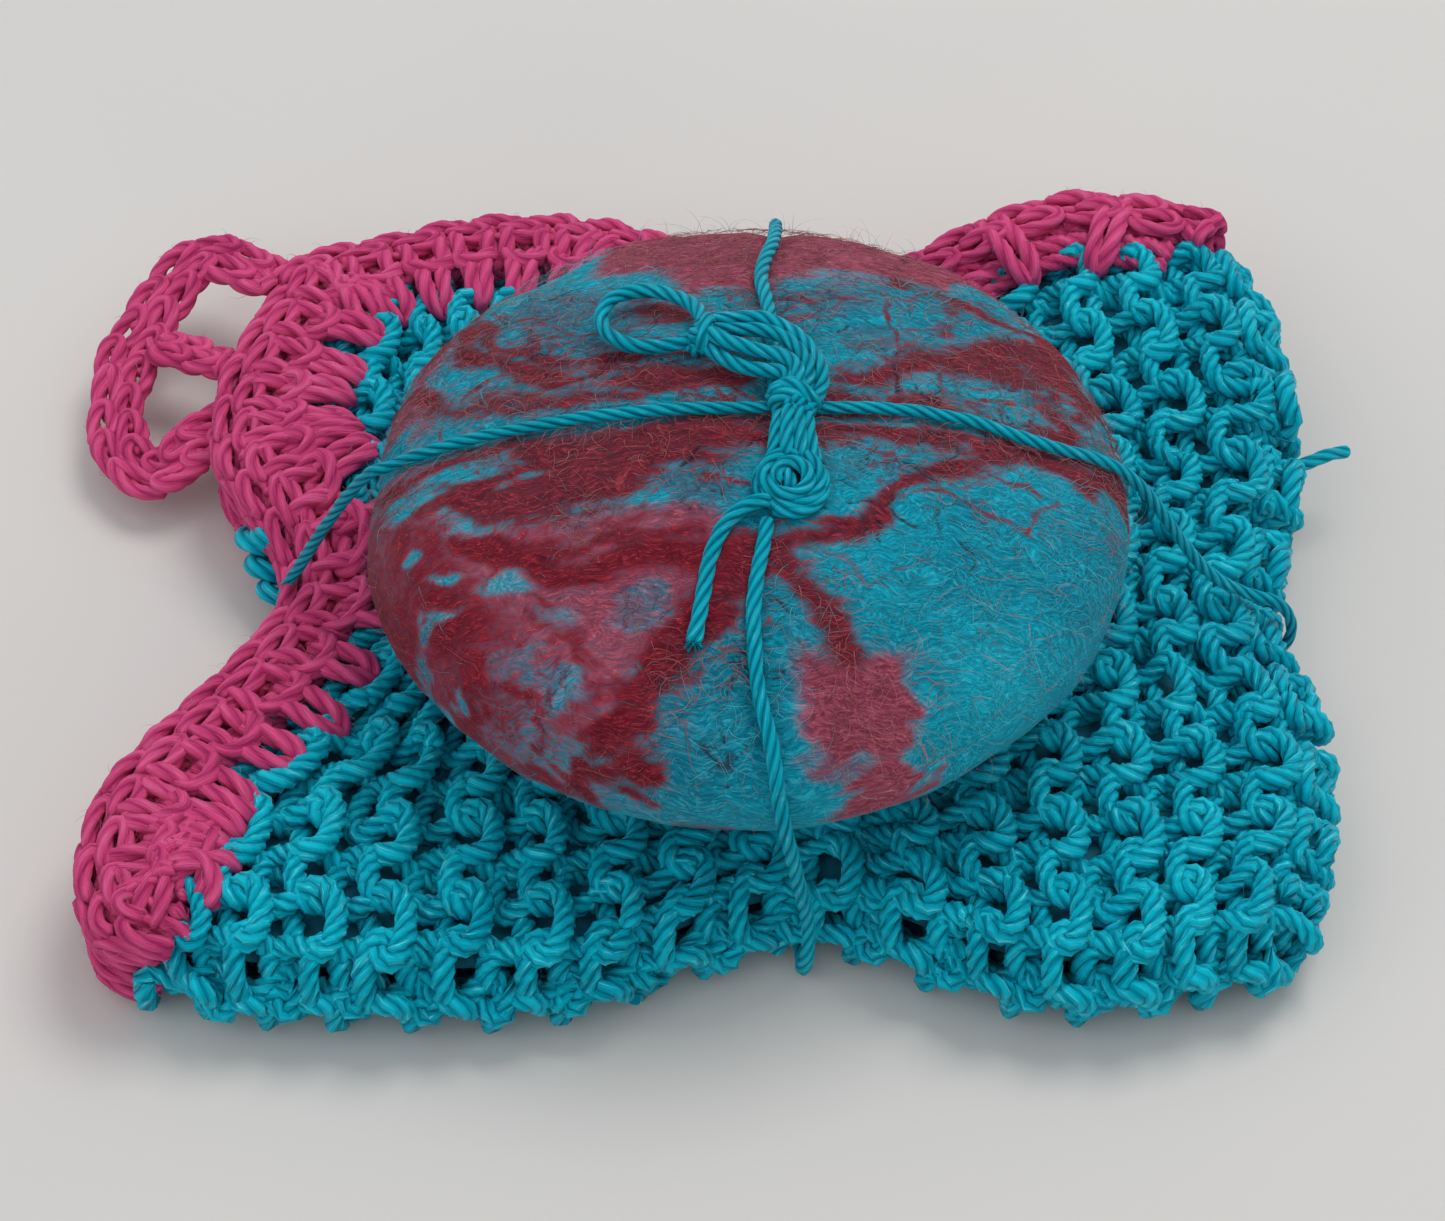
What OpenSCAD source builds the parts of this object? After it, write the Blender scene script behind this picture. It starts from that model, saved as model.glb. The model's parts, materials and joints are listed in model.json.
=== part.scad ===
// Felt pin cushion on a folded knitted cloth, tied crosswise with cotton yarn.
// Units are millimetres, +Z is up. The origin is on the resting plane, under the
// middle of the felt pad. -Y is the front. The left and back edges of the cloth
// carry the crochet edging, the front and right edges are folds.

/* [Felt pad] */
// diameter of the felt pad
pad_diameter = 88; // [80:1:94]
// thickness of the felt pad
pad_height = 34; // [28:1:40]
// radius of the rounded rim of the pad
rim_radius = 9; // [6:0.5:12]
// thickness of the felt cover over the firm core
felt_thickness = 3; // [2:0.25:5]
// thickness of the coloured fleece laid into the cover
fleece_thickness = 0.7; // [0.4:0.1:1.2]

/* [Folded cloth] */
// half width of the folded cloth, left to right
cloth_half_width = 72; // [70:1:80]
// half depth of the folded cloth, front to back
cloth_half_depth = 61; // [60:1:70]
// thickness of one ply of knitting
ply_thickness = 3.2; // [2.4:0.1:4]
// air gap between two plies
ply_gap = 0.2; // [0.1:0.05:0.4]
// width of the crochet edging
edging_width = 10; // [6:0.5:14]
// how far the tie pulls the left side in
pinch_left = 20; // [8:1:22]
// how far the tie pulls the front side in
pinch_front = 9; // [4:1:9]
// resting lift of the back right corner, degrees
lift_back_right = 12; // [0:1:16]

/* [Tie] */
// diameter of the tying yarn
yarn_diameter = 2; // [1.6:0.1:2.6]
// clearance between yarn and pad
yarn_gap = 0.08; // [0.05:0.01:0.2]
// radius of the standing bow loop, middle of the yarn
bow_radius = 6.9; // [5.6:0.1:7.6]
// radius of the coiled yarn, middle of the outer turn
coil_radius = 3.3; // [2.8:0.1:4]
// length of the hanging tail
tail_length = 15; // [10:1:20]

/* [Hanging loop] */
// width of the crochet band of the hanging loop
band_width = 5.4; // [4:0.2:7]
// thickness of the crochet band
band_thickness = 2.8; // [2:0.2:4]

/* [Hidden] */
$fn = 96;
part_gap = 0.05;                        // air under the pad and round its core
ply_pitch = ply_thickness + ply_gap;
cloth_top = 4 * ply_thickness + 3 * ply_gap;

half_height = pad_height / 2;
pad_radius = pad_diameter / 2;
pad_z = cloth_top + part_gap + half_height;   // height of the pad's widest ring
rim_centre = pad_radius - rim_radius;         // centre of the rim arc, from the axis
// dome arc: centre on the axis, tangent to the rim arc, apex at half_height
dome_radius = (half_height * half_height + rim_centre * rim_centre - rim_radius * rim_radius)
    / (2 * (half_height - rim_radius));
dome_drop = dome_radius - half_height;        // centre of the dome below the widest ring
join_angle = atan2(dome_drop, rim_centre);    // rim angle where dome and rim meet

yarn_radius = yarn_diameter / 2;
yarn_offset = yarn_radius + yarn_gap;         // pad surface to the middle of the yarn

teal = [0.02, 0.45, 0.52];
felt = [0.12, 0.50, 0.57];
pink = [0.65, 0.24, 0.42];
maroon = [0.43, 0.18, 0.23];
rose = [0.52, 0.28, 0.33];
wadding = [0.82, 0.76, 0.62];

// ----------------------------------------------------------------- helpers
// sum of a list of numbers or of points
function total(list) = [for (item = list) 1] * list;
// a plan point set at height z
function at(point, z) = [point[0], point[1], z];

// ---------------------------------------------------------------- felt pad
pocket_gap = 0.04;                      // air under the fleece

// outlines of the coloured fleece from above, [x, y]
maroon_outlines = [
    [[-40, 3], [-30, 5], [-20, 3.4], [-8, 1], [-4, -6], [-8, -12], [-18, -15], [-30, -18],
     [-38, -12]],
    [[10, 4], [18, 10], [28, 15], [38, 20], [41, 8], [30, 2], [14, -1]],
    [[-36, 26], [-30, 20], [-20, 10], [-6, 4], [-8, 8], [-20, 15], [-29, 26]],
    [[-6, -20], [0, -22], [-6, -32], [-10, -42], [-18, -40], [-12, -30]]
];
rose_outlines = [
    [[-16, 30], [-6, 22], [8, 26], [24, 28], [30, 32], [20, 39], [0, 43.5], [-14, 41]],
    [[6, -30], [12, -31], [18, -32], [18, -40], [8, -43], [7, -36]]
];
fleece_scale = 0.985;                   // fleece against its pocket

// half profile of the pad made smaller by inset, as plain arcs: dome, rim, dome
module profile(inset) {
    difference() {
        union() {
            intersection() {
                translate([0, -dome_drop]) circle(r = dome_radius - inset, $fn = 360);
                translate([0, dome_drop]) circle(r = dome_radius - inset, $fn = 360);
                translate([0, -half_height - 1])
                    square([rim_centre + rim_radius * cos(join_angle), pad_height + 2]);
            }
            translate([rim_centre, 0]) circle(r = rim_radius - inset, $fn = 180);
        }
        translate([-pad_diameter, -pad_radius]) square([pad_diameter, pad_diameter]);
    }
}
module pad_solid(inset) {
    translate([0, 0, pad_z]) rotate_extrude($fn = 180) profile(inset);
}
// column over an outline, through the upper half of the pad
module column(outline) {
    translate([0, 0, pad_z + 0.5]) linear_extrude(height = pad_height) polygon(outline);
}
// pull every corner of an outline a little towards the mean of its corners
function shrink(outline) =
    let (middle = total(outline) / len(outline))
    [for (point = outline) middle + (point - middle) * fleece_scale];

module core() {
    color(wadding) pad_solid(felt_thickness + part_gap);
}
module felt_base() {
    color(felt) difference() {
        pad_solid(0);
        pad_solid(felt_thickness);
        // pockets for the fleece
        intersection() {
            difference() {
                pad_solid(-1);
                pad_solid(fleece_thickness + pocket_gap);
            }
            for (outline = concat(maroon_outlines, rose_outlines)) column(outline);
        }
    }
}
module fleece(outlines) {
    intersection() {
        difference() {
            pad_solid(0);
            pad_solid(fleece_thickness);
        }
        for (outline = outlines) column(shrink(outline));
    }
}
module fleece_maroon() { color(maroon) fleece(maroon_outlines); }
module fleece_rose() { color(rose) fleece(rose_outlines); }

// ------------------------------------------------------------- folded cloth
cloth_centre = [-3, 9];
// where the tie crosses each side
tie_left_y = 7;
tie_right_y = 3;
tie_front_x = 6;
tie_back_x = 3.4;
pinch_right = 5;
pinch_back = 8;
// dents in each side: depth, place along the side, width
left_dents = [[pinch_left, tie_left_y, 12], [8.5, -14, 9.5]];
right_dents = [[pinch_right, tie_right_y, 9]];
front_dents = [[pinch_front, tie_front_x, 12]];
back_dents = [[pinch_back, tie_back_x, 12], [5, 22, 9]];

edging_gap = 0.4;                       // inset between edging and knitting
groove_height = 0.6;
edging_groove = 4;                      // inset of the grooves in the edging
fold_groove = 5;                        // inset of the groove in the front fold
corner_gap = 0.1;                       // between a corner and the middle

function dent(dents, place) =
    total([for (d = dents) d[0] * exp(-pow(place - d[1], 2) / (2 * d[2] * d[2]))]);

// One point of the outline: a rounded oblong, drawn in where the tie crosses it.
// side_inset draws the left and back sides in, front_inset the front side.
function rim_at(angle, side_inset, front_inset) =
    let (half_x = cloth_half_width - side_inset / 2,
         half_y = cloth_half_depth - side_inset / 2 - front_inset / 2,
         reach = pow(pow(abs(cos(angle)) / half_x, 7) + pow(abs(sin(angle)) / half_y, 7), -1 / 7),
         oblong_x = reach * cos(angle),
         oblong_y = reach * sin(angle),
         x = oblong_x + cloth_centre[0] + side_inset / 2,
         y = oblong_y + cloth_centre[1] - side_inset / 2 + front_inset / 2,
         // the back left lobe sits further in than the front left one
         skew = (y - 15) / 10,
         lobe = 5.5 * (1 + skew / sqrt(1 + skew * skew)) - 3,
         // the shift fades out along the front and back sides, so the edge never doubles back
         fade = min(1, max(0, (-oblong_x / half_x - 0.2) / 0.7)),
         left = (dent(left_dents, y) + lobe) * fade,
         right = oblong_x > half_x * 0.7 ? -dent(right_dents, y) : 0,
         front = oblong_y < -half_y * 0.7 ? dent(front_dents, x) : 0,
         back = oblong_y > half_y * 0.7 ? -dent(back_dents, x) : 0)
    [x + left + right, y + front + back];

module slab(z, height, side_inset = 0, front_inset = 0) {
    translate([0, 0, z]) linear_extrude(height = height)
        polygon([for (i = [0 : 95]) rim_at(i * 3.75, side_inset, front_inset)]);
}
// slab that reaches past the bottom and top of the cloth, for cutting
module cutting_slab(side_inset, front_inset = 0) {
    slab(-1, cloth_top + 2, side_inset, front_inset);
}
// the knitted part of the outline, inside the edging on the left and the back
module knit(z, height) { slab(z, height, edging_width); }

// flat groove cut into the sides of the cloth, as deep as the insets
module groove(z, side_inset, front_inset = 0) {
    difference() {
        translate([-200, -200, z]) cube([400, 400, groove_height]);
        cutting_slab(side_inset, front_inset);
    }
}
// crochet edging on the open left and back sides, one ridge for each of the plies
module edging() {
    difference() {
        slab(0, cloth_top);
        cutting_slab(edging_width - edging_gap);
        for (i = [1 : 3]) groove(i * ply_pitch - ply_gap - 0.2, edging_groove);
        // the folded front and right sides have none
        translate([-cloth_half_width + cloth_centre[0] + edging_width + 6, -200, -1])
            cube([400, 170, cloth_top + 2]);
        translate([cloth_half_width - 20, -200, -1]) cube([100, 250, cloth_top + 2]);
    }
}

// corner fold lines: two plan points each, corner on the left hand side
fold_front_left = [[-8, -52], [-58, 0]];
fold_front_right = [[66, -10], [18, -50]];
fold_back_right = [[14, 60], [68, 14]];
fold_back_left = [[-60, 14], [-10, 58]];

// everything outside a fold line, moved outwards by gap
module beyond(fold, gap) {
    along = fold[1] - fold[0];
    outward = [-along[1], along[0]] / norm(along);
    translate(at(fold[0] + outward * gap, -5))
        rotate([0, 0, atan2(along[1], along[0])])
        translate([-100, 0, 0]) cube([300, 150, 60]);
}
// the children without the four corners
module middle() {
    difference() {
        children();
        for (fold = [fold_front_left, fold_front_right, fold_back_right, fold_back_left])
            beyond(fold, 0);
    }
}
// turn the children about the top edge of a fold line
module turned(fold, angle) {
    hinge = at(fold[0], cloth_top);
    translate(hinge) rotate(angle, at(fold[1] - fold[0], 0)) translate(-hinge) children();
}

// Where the tie runs: outside the cloth on each side, and the bends underneath
pass_left = [-cloth_half_width + pinch_left + cloth_centre[0] - 2.24, tie_left_y];
pass_right = [cloth_half_width + cloth_centre[0] - pinch_right + 1.3, tie_right_y];
pass_front = [tie_front_x, -cloth_half_depth + pinch_front + cloth_centre[1] - 2.2];
pass_back = [tie_back_x, cloth_half_depth + cloth_centre[1] - pinch_back + 1.4];
bend_left_front = [3, -1];
bend_right_back = [5.6, 1.6];
channel_width = 2.6;

// channel under the cloth that the tie runs in
module channel() {
    channel_run(bend_left_front, pass_left);
    channel_run(bend_left_front, pass_front);
    channel_run(bend_right_back, pass_right);
    channel_run(bend_right_back, pass_back);
}
module channel_run(start, end) {
    along = end - start;
    translate(at(start, 0)) rotate([0, 0, atan2(along[1], along[0])])
        translate([-channel_width / 2, -channel_width / 2, -1])
        cube([norm(along) + 5, channel_width, 1 + yarn_diameter + 0.3]);
}

// plies are counted from the bottom; the lowest one has the channel
module knit_ply(number) {
    color(teal) difference() {
        middle() knit((number - 1) * ply_pitch, ply_thickness);
        if (number == 1) channel();
    }
}
module knit_ply_1() { knit_ply(1); }
module knit_ply_2() { knit_ply(2); }
module knit_ply_3() { knit_ply(3); }
module knit_ply_4() { knit_ply(4); }

// a corner of the cloth: all plies in one, with a groove along the front fold
module knit_corner(fold) {
    color(teal) intersection() {
        difference() {
            knit(0, cloth_top);
            groove(cloth_top / 2 - groove_height / 2, 0, fold_groove);
        }
        beyond(fold, corner_gap);
    }
}
module knit_corner_front_left() { knit_corner(fold_front_left); }
module knit_corner_front_right() { knit_corner(fold_front_right); }
module knit_corner_back_right() {
    turned(fold_back_right, lift_back_right) knit_corner(fold_back_right);
}
module knit_corner_back_left() { knit_corner(fold_back_left); }

// the part of the edging between two corners that lies in a box
module edging_side(box_corner, box_size) {
    color(pink) difference() {
        intersection() {
            middle() edging();
            translate(box_corner) cube(box_size);
        }
        channel();
    }
}
module edging_left() { edging_side([-100, -30, -1], [70, 60, 40]); }
module edging_back() { edging_side([-30, 30, -1], [80, 60, 40]); }

module edging_corner(fold) {
    color(pink) intersection() {
        edging();
        beyond(fold, corner_gap);
    }
}
module edging_corner_front_left() { edging_corner(fold_front_left); }
module edging_corner_back_left() { edging_corner(fold_back_left); }
module edging_corner_back_right() {
    turned(fold_back_right, lift_back_right) edging_corner(fold_back_right);
}

// ------------------------------------------------------------ hanging loop
// middle line of the band, [x, y, z]: the loop, and a short strand at the cloth
loop_path = [[-69.6, 35, 7], [-73, 31, 5.5], [-78, 31.5, 4.6],
             [-81, 38, 4.6], [-81.4, 46, 5.6], [-79.4, 54, 7.4],
             [-75.4, 61, 9.2], [-71, 63.4, 10.4], [-69.6, 59, 10.8]];
strand_path = [[-79, 52, 7.6], [-74, 48.5, 8], [-71.5, 47, 8], [-69.6, 46.5, 8]];

// direction across the path at point i
function across(path, i) =
    let (step = path[min(i + 1, len(path) - 1)] - path[max(i - 1, 0)])
    atan2(step[1], step[0]) + 90;

// two balls side by side that mark the width of the band at point i
module band_station(path, i) {
    translate(path[i]) rotate([0, 0, across(path, i)]) union() {
        for (side = [-1, 1])
            translate([side * (band_width - band_thickness) / 2, 0, 0])
                sphere(r = band_thickness / 2, $fn = 20);
    }
}
module band(path) {
    for (i = [0 : len(path) - 2]) hull() {
        band_station(path, i);
        band_station(path, i + 1);
    }
}
module hanging_loop() {
    color(pink) union() {
        band(loop_path);
        band(strand_path);
    }
}

// -------------------------------------------------------------------- yarn
module yarn_ball(point) {
    translate(point) sphere(r = yarn_radius * 1.04, $fn = 40);
}
module yarn_rod(start, end) {
    along = end - start;
    translate(start)
        rotate([0, atan2(norm([along[0], along[1]]), along[2]), atan2(along[1], along[0])])
        cylinder(r = yarn_radius, h = norm(along), $fn = 40);
    yarn_ball(end);
}
module yarn_path(points) {
    yarn_ball(points[0]);
    for (i = [1 : len(points) - 1]) yarn_rod(points[i - 1], points[i]);
}
module yarn_section(radius, thickness) {
    translate([radius, 0]) circle(r = thickness, $fn = 40);
}
module yarn_arc(radius, angle, facets) {
    rotate_extrude(angle = angle, $fn = facets) yarn_section(radius, yarn_radius);
}
module yarn_ring(radius, facets, thickness = yarn_radius) {
    rotate_extrude($fn = facets) yarn_section(radius, thickness);
}

// --------------------------------------------------------------------- tie
// Yarn laid over the pad from near its middle down to the rim:
// outward direction, sideways offset, start distance from the axis,
// rim angle above the widest ring where the yarn leaves the pad
leg_left = [180, 0.3, -1.9, 36];
leg_right = [0, 0.5, 7.6, 36];
leg_front = [-90, 1.4, 16.6, 3];
leg_back = [90, -3, 2.8, 36];
under_z = yarn_radius + 0.1;            // middle of the yarn under the cloth

// middle of the yarn at a rim angle: distance from the axis, height over the widest ring
function on_rim(angle) =
    [rim_centre + (rim_radius + yarn_offset) * cos(angle),
     (rim_radius + yarn_offset) * sin(angle)];
function leave_point(leg) =
    let (rim = on_rim(leg[3]))
    [rim[0] * cos(leg[0]) - leg[1] * sin(leg[0]),
     rim[0] * sin(leg[0]) + leg[1] * cos(leg[0]),
     pad_z + rim[1]];

module over_pad(leg) {
    start_angle = asin(leg[2] / (dome_radius + yarn_offset));
    join = on_rim(join_angle);
    rotate([0, 0, leg[0]]) translate([0, leg[1], pad_z]) {
        translate([0, 0, -dome_drop]) rotate([90, 0, 0]) rotate([0, 0, join_angle])
            yarn_arc(dome_radius + yarn_offset, 90 - join_angle - start_angle, 360);
        yarn_ball([join[0], 0, join[1]]);
        translate([rim_centre, 0, 0]) rotate([90, 0, 0]) rotate([0, 0, leg[3]])
            yarn_arc(rim_radius + yarn_offset, join_angle - leg[3], 180);
    }
}
// down one leg, under the cloth round a bend, and up to another leg;
// up_z is where the yarn turns in towards the pad again
module tie(leg_down, pass_down, bend, pass_up, up_z, leg_up) {
    color(teal) union() {
        over_pad(leg_down);
        yarn_path([leave_point(leg_down),
                   at(pass_down, cloth_top + 1),
                   at(pass_down, under_z),
                   at(bend, under_z),
                   at(pass_up, under_z),
                   at(pass_up, up_z),
                   leave_point(leg_up)]);
        over_pad(leg_up);
    }
}
module tie_left_to_front() {
    tie(leg_left, pass_left, bend_left_front, pass_front, cloth_top, leg_front);
}
module tie_right_to_back() {
    tie(leg_right, pass_right, bend_right_back, pass_back, cloth_top + 0.5, leg_back);
}

// --------------------------------------------------------------------- bow
// height of the pad's top at a distance from the axis
function dome_z(distance) =
    pad_z - dome_drop + sqrt(dome_radius * dome_radius - distance * distance);

knot_at = [4.6, -0.4, dome_z(4.7) + 2.5];
bundle_z = dome_z(9) + 2 * yarn_offset + yarn_radius + 0.15;
bow_at = [-11.3, 16.4, pad_z + half_height - 0.4];
neck_at = knot_at + [0, -2.75, -0.9];
coil_at = [4.4, -11.4, dome_z(8) + yarn_radius + 0.2];

// arcs of the bundle: centre with z above bundle_z, start angle, sweep, radius
bundle_arcs = [
    [[0.8, 6.9, 0], -34, 170, 7.2],
    [[0.8, 6.9, 0.1], -46, 184, 5.4],
    [[-0.8, 3.4, 0.3], -10, 120, 4.7]
];
// yarns of the neck: x, height above neck_at, length
neck_yarns = [[-1.5, 0, 3.1], [0, 0.3, 3.3], [1.5, 0, 3.1]];
// tail: x, y, extra lift off the pad
tail_path = [[-0.35, -14.5, 1.6], [-3.4, -17.4, 0], [-4.8, -22.4, 0.1],
             [-6.1, -15.4 - tail_length, 0.1]];

module knot() {
    color(teal) translate(knot_at) union() {
        sphere(r = 2.2, $fn = 48);
        rotate([0, 12, 0]) rotate([90, 0, 90]) yarn_ring(1.3, 96);
        translate([0, 0.9, 0]) rotate([90, 0, 0]) yarn_ring(1.5, 96, yarn_radius * 0.9);
    }
}
// the yarns between the standing loop and the knot, over the back leg
module bow_bundle() {
    color(teal) union() {
        for (arc = bundle_arcs)
            translate(arc[0] + [0, 0, bundle_z]) rotate([0, 0, arc[1]])
                yarn_arc(arc[3], arc[2], 120);
    }
}
module bow_loop() {
    color(teal) translate(bow_at) rotate([-4, -7, 0]) rotate([0, 0, -5])
        yarn_arc(bow_radius, 295, 160);
}
// short run of yarns between knot and coil, over the front leg
module neck() {
    color(teal) translate(neck_at) rotate([90, 0, 0]) union() {
        for (yarn = neck_yarns)
            translate([yarn[0], yarn[1], 0]) cylinder(r = yarn_radius, h = yarn[2], $fn = 40);
    }
}
// two stacked turns, the upper one smaller
module coil() {
    color(teal) translate(coil_at) rotate([7.5, 3, 0]) union() {
        yarn_ring(coil_radius, 120);
        translate([0, 0, 0.9]) yarn_ring(coil_radius - 1.3, 120);
    }
}
module tie_tail() {
    color(teal) union() {
        yarn_path([for (p = tail_path)
            at(p, dome_z(norm([p[0], p[1]])) + yarn_radius + 0.25 + p[2])]);
    }
}
// short curved yarn at the right side of the lifted corner
module yarn_end() {
    bend_radius = 9;
    color(teal) turned(fold_back_right, lift_back_right)
        translate([cloth_half_width - 1.1, 27.4, 6.9]) rotate([0, 8, 28])
        translate([0, -bend_radius, 0]) rotate([0, 0, 55]) yarn_arc(bend_radius, 35, 160);
}

core();
felt_base();
fleece_maroon();
fleece_rose();
knit_ply_1();
knit_ply_2();
knit_ply_3();
knit_ply_4();
knit_corner_front_left();
knit_corner_front_right();
knit_corner_back_right();
knit_corner_back_left();
edging_left();
edging_back();
edging_corner_front_left();
edging_corner_back_left();
edging_corner_back_right();
hanging_loop();
tie_left_to_front();
tie_right_to_back();
knot();
bow_bundle();
bow_loop();
neck();
coil();
tie_tail();
yarn_end();
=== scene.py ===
"""A round felt pin cushion tied with yarn onto a folded knitted cloth, dressed over the CAD frame.

The table is z = 0 and the pad's axis is the z axis; x runs right and y runs back. The cloth is
four plies thick, folded at its right and front sides, with a crochet edging on its left and back
sides.
"""
import json
import math

import bpy
import numpy as np
from mathutils import Vector
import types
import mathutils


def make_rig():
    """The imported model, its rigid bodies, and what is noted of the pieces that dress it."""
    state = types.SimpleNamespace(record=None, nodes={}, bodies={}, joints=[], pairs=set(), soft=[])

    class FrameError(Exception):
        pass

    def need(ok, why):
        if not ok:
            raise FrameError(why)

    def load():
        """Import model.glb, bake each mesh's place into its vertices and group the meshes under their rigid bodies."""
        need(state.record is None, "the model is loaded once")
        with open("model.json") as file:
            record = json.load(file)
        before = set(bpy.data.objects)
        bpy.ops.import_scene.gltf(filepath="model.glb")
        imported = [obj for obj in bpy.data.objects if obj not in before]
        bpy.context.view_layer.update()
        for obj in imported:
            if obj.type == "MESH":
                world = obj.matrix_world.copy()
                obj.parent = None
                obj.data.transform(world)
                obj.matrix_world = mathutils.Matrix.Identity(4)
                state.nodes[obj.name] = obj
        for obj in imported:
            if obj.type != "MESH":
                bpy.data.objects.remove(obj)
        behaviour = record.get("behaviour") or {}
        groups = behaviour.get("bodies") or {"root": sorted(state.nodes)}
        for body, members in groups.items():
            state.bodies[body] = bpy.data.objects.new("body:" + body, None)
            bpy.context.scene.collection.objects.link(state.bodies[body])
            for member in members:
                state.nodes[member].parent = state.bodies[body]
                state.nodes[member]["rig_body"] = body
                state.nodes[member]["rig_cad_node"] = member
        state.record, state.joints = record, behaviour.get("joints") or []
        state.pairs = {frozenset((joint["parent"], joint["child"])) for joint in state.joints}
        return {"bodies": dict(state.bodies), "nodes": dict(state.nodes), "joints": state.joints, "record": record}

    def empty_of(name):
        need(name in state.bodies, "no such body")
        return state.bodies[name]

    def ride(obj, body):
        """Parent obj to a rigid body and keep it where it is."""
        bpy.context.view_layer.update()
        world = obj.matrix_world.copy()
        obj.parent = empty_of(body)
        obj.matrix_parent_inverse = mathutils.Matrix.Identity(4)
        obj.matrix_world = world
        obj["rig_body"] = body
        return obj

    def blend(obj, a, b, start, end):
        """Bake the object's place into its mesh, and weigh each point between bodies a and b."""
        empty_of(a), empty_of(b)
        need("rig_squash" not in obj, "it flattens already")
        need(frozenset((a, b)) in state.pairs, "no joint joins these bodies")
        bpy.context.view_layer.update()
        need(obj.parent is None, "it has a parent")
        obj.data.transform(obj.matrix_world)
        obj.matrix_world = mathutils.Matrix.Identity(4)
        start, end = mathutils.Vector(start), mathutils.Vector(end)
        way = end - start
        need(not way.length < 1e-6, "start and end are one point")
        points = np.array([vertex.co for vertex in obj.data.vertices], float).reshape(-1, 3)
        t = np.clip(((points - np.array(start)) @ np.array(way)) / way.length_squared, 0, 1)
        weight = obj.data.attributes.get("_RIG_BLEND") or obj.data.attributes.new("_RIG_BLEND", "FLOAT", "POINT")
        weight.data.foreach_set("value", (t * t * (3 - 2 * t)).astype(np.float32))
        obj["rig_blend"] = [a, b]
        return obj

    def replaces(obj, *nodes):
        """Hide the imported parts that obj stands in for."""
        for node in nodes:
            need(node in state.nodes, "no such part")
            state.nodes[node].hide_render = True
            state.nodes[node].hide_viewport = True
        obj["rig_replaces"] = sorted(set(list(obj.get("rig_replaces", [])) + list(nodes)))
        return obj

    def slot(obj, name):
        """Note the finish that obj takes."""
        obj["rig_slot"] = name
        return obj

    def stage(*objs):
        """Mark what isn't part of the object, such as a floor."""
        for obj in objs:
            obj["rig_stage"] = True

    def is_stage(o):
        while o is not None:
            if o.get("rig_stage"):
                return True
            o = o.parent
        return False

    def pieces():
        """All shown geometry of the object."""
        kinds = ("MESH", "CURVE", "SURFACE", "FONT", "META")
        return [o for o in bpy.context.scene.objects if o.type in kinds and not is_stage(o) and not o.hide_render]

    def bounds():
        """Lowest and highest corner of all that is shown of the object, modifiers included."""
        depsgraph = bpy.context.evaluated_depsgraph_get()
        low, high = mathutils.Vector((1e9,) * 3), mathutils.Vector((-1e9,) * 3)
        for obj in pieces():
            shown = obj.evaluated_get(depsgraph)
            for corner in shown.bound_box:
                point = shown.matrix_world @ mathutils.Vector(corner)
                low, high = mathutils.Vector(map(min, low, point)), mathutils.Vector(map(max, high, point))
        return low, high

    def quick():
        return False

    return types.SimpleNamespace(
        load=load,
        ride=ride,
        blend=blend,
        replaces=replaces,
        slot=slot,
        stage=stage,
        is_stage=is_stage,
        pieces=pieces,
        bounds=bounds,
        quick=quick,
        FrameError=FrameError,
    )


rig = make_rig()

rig.load()
CAD_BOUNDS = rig.bounds()
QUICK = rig.quick()
view = bpy.context.scene.view_settings
view.view_transform = "Standard"
view.look = "None"
MM = 0.001
rng = np.random.default_rng(7)

# ---------------------------------------------------------------- sizes shared with the CAD
CLOTH_TOP = 13.4
PAD_HALF = 17.0                      # half the height of the pad
PAD_Z = CLOTH_TOP + 0.05 + PAD_HALF  # middle of the pad, a hair above the cloth
RIM_RADIUS, RIM_CENTRE = 9.0, 35.0   # round section of the rim, and its distance from the axis
PAD_RADIUS = RIM_CENTRE + RIM_RADIUS
DOME_RADIUS = ((PAD_HALF ** 2 + RIM_CENTRE ** 2 - RIM_RADIUS ** 2)
               / (2 * (PAD_HALF - RIM_RADIUS)))
DOME_DROP = DOME_RADIUS - PAD_HALF
RIM_TANGENT = math.atan2(DOME_DROP, RIM_CENTRE)
DOME_END = RIM_CENTRE + RIM_RADIUS * math.cos(RIM_TANGENT)  # where the dome meets the rim

# lines across which the corners bend, start and end; each corner lies left of its line
CORNER_LINES = {
    "front_left": ((-8, -52), (-58, 0)), "front_right": ((66, -10), (18, -50)),
    "back_right": ((14, 60), (68, 14)), "back_left": ((-60, 14), (-10, 58)),
}
REGIONS = ["centre"] + list(CORNER_LINES)
BACK_RIGHT_LIFT = 12.0               # degrees

RIGHT, FRONT = 66.8, -51.5           # folded sides
LEFT, BACK = -78.0, 70.0             # open sides, outside of the edging
EDGE_WIDTH = 10.0


# ---------------------------------------------------------------- curves and noise
def smoothstep(start, end, x):
    share = np.clip((x - start) / (end - start), 0, 1)
    return share * share * (3 - 2 * share)


def bell(x, width):
    return np.exp(-x * x / (2 * width * width))


WAVES = rng.normal(size=(8, 14, 3))
PHASES = rng.uniform(0, 2 * np.pi, size=(8, 14))


def wobble(points, size, channel):
    """Smooth repeatable noise in about -1..1 at 3-D points: a sum of sines."""
    scaled = np.asarray(points, float) / size
    total = np.zeros(scaled.shape[:-1])
    for wave, phase in zip(WAVES[channel], PHASES[channel]):
        total = total + np.sin(scaled @ wave * 1.6 + phase)
    return total / 4.2


def jitter(points, size):
    return np.stack([wobble(points, size, channel) for channel in (2, 3, 4)], -1)


def travelled(path):
    """Length along a path at each of its points."""
    return np.concatenate([[0], np.cumsum(np.linalg.norm(np.diff(path, axis=0), axis=1))])


def at_length(query, lengths, values):
    """Columns of values, read off at the queried lengths."""
    return np.stack([np.interp(query, lengths, column) for column in values.T], -1)


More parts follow.
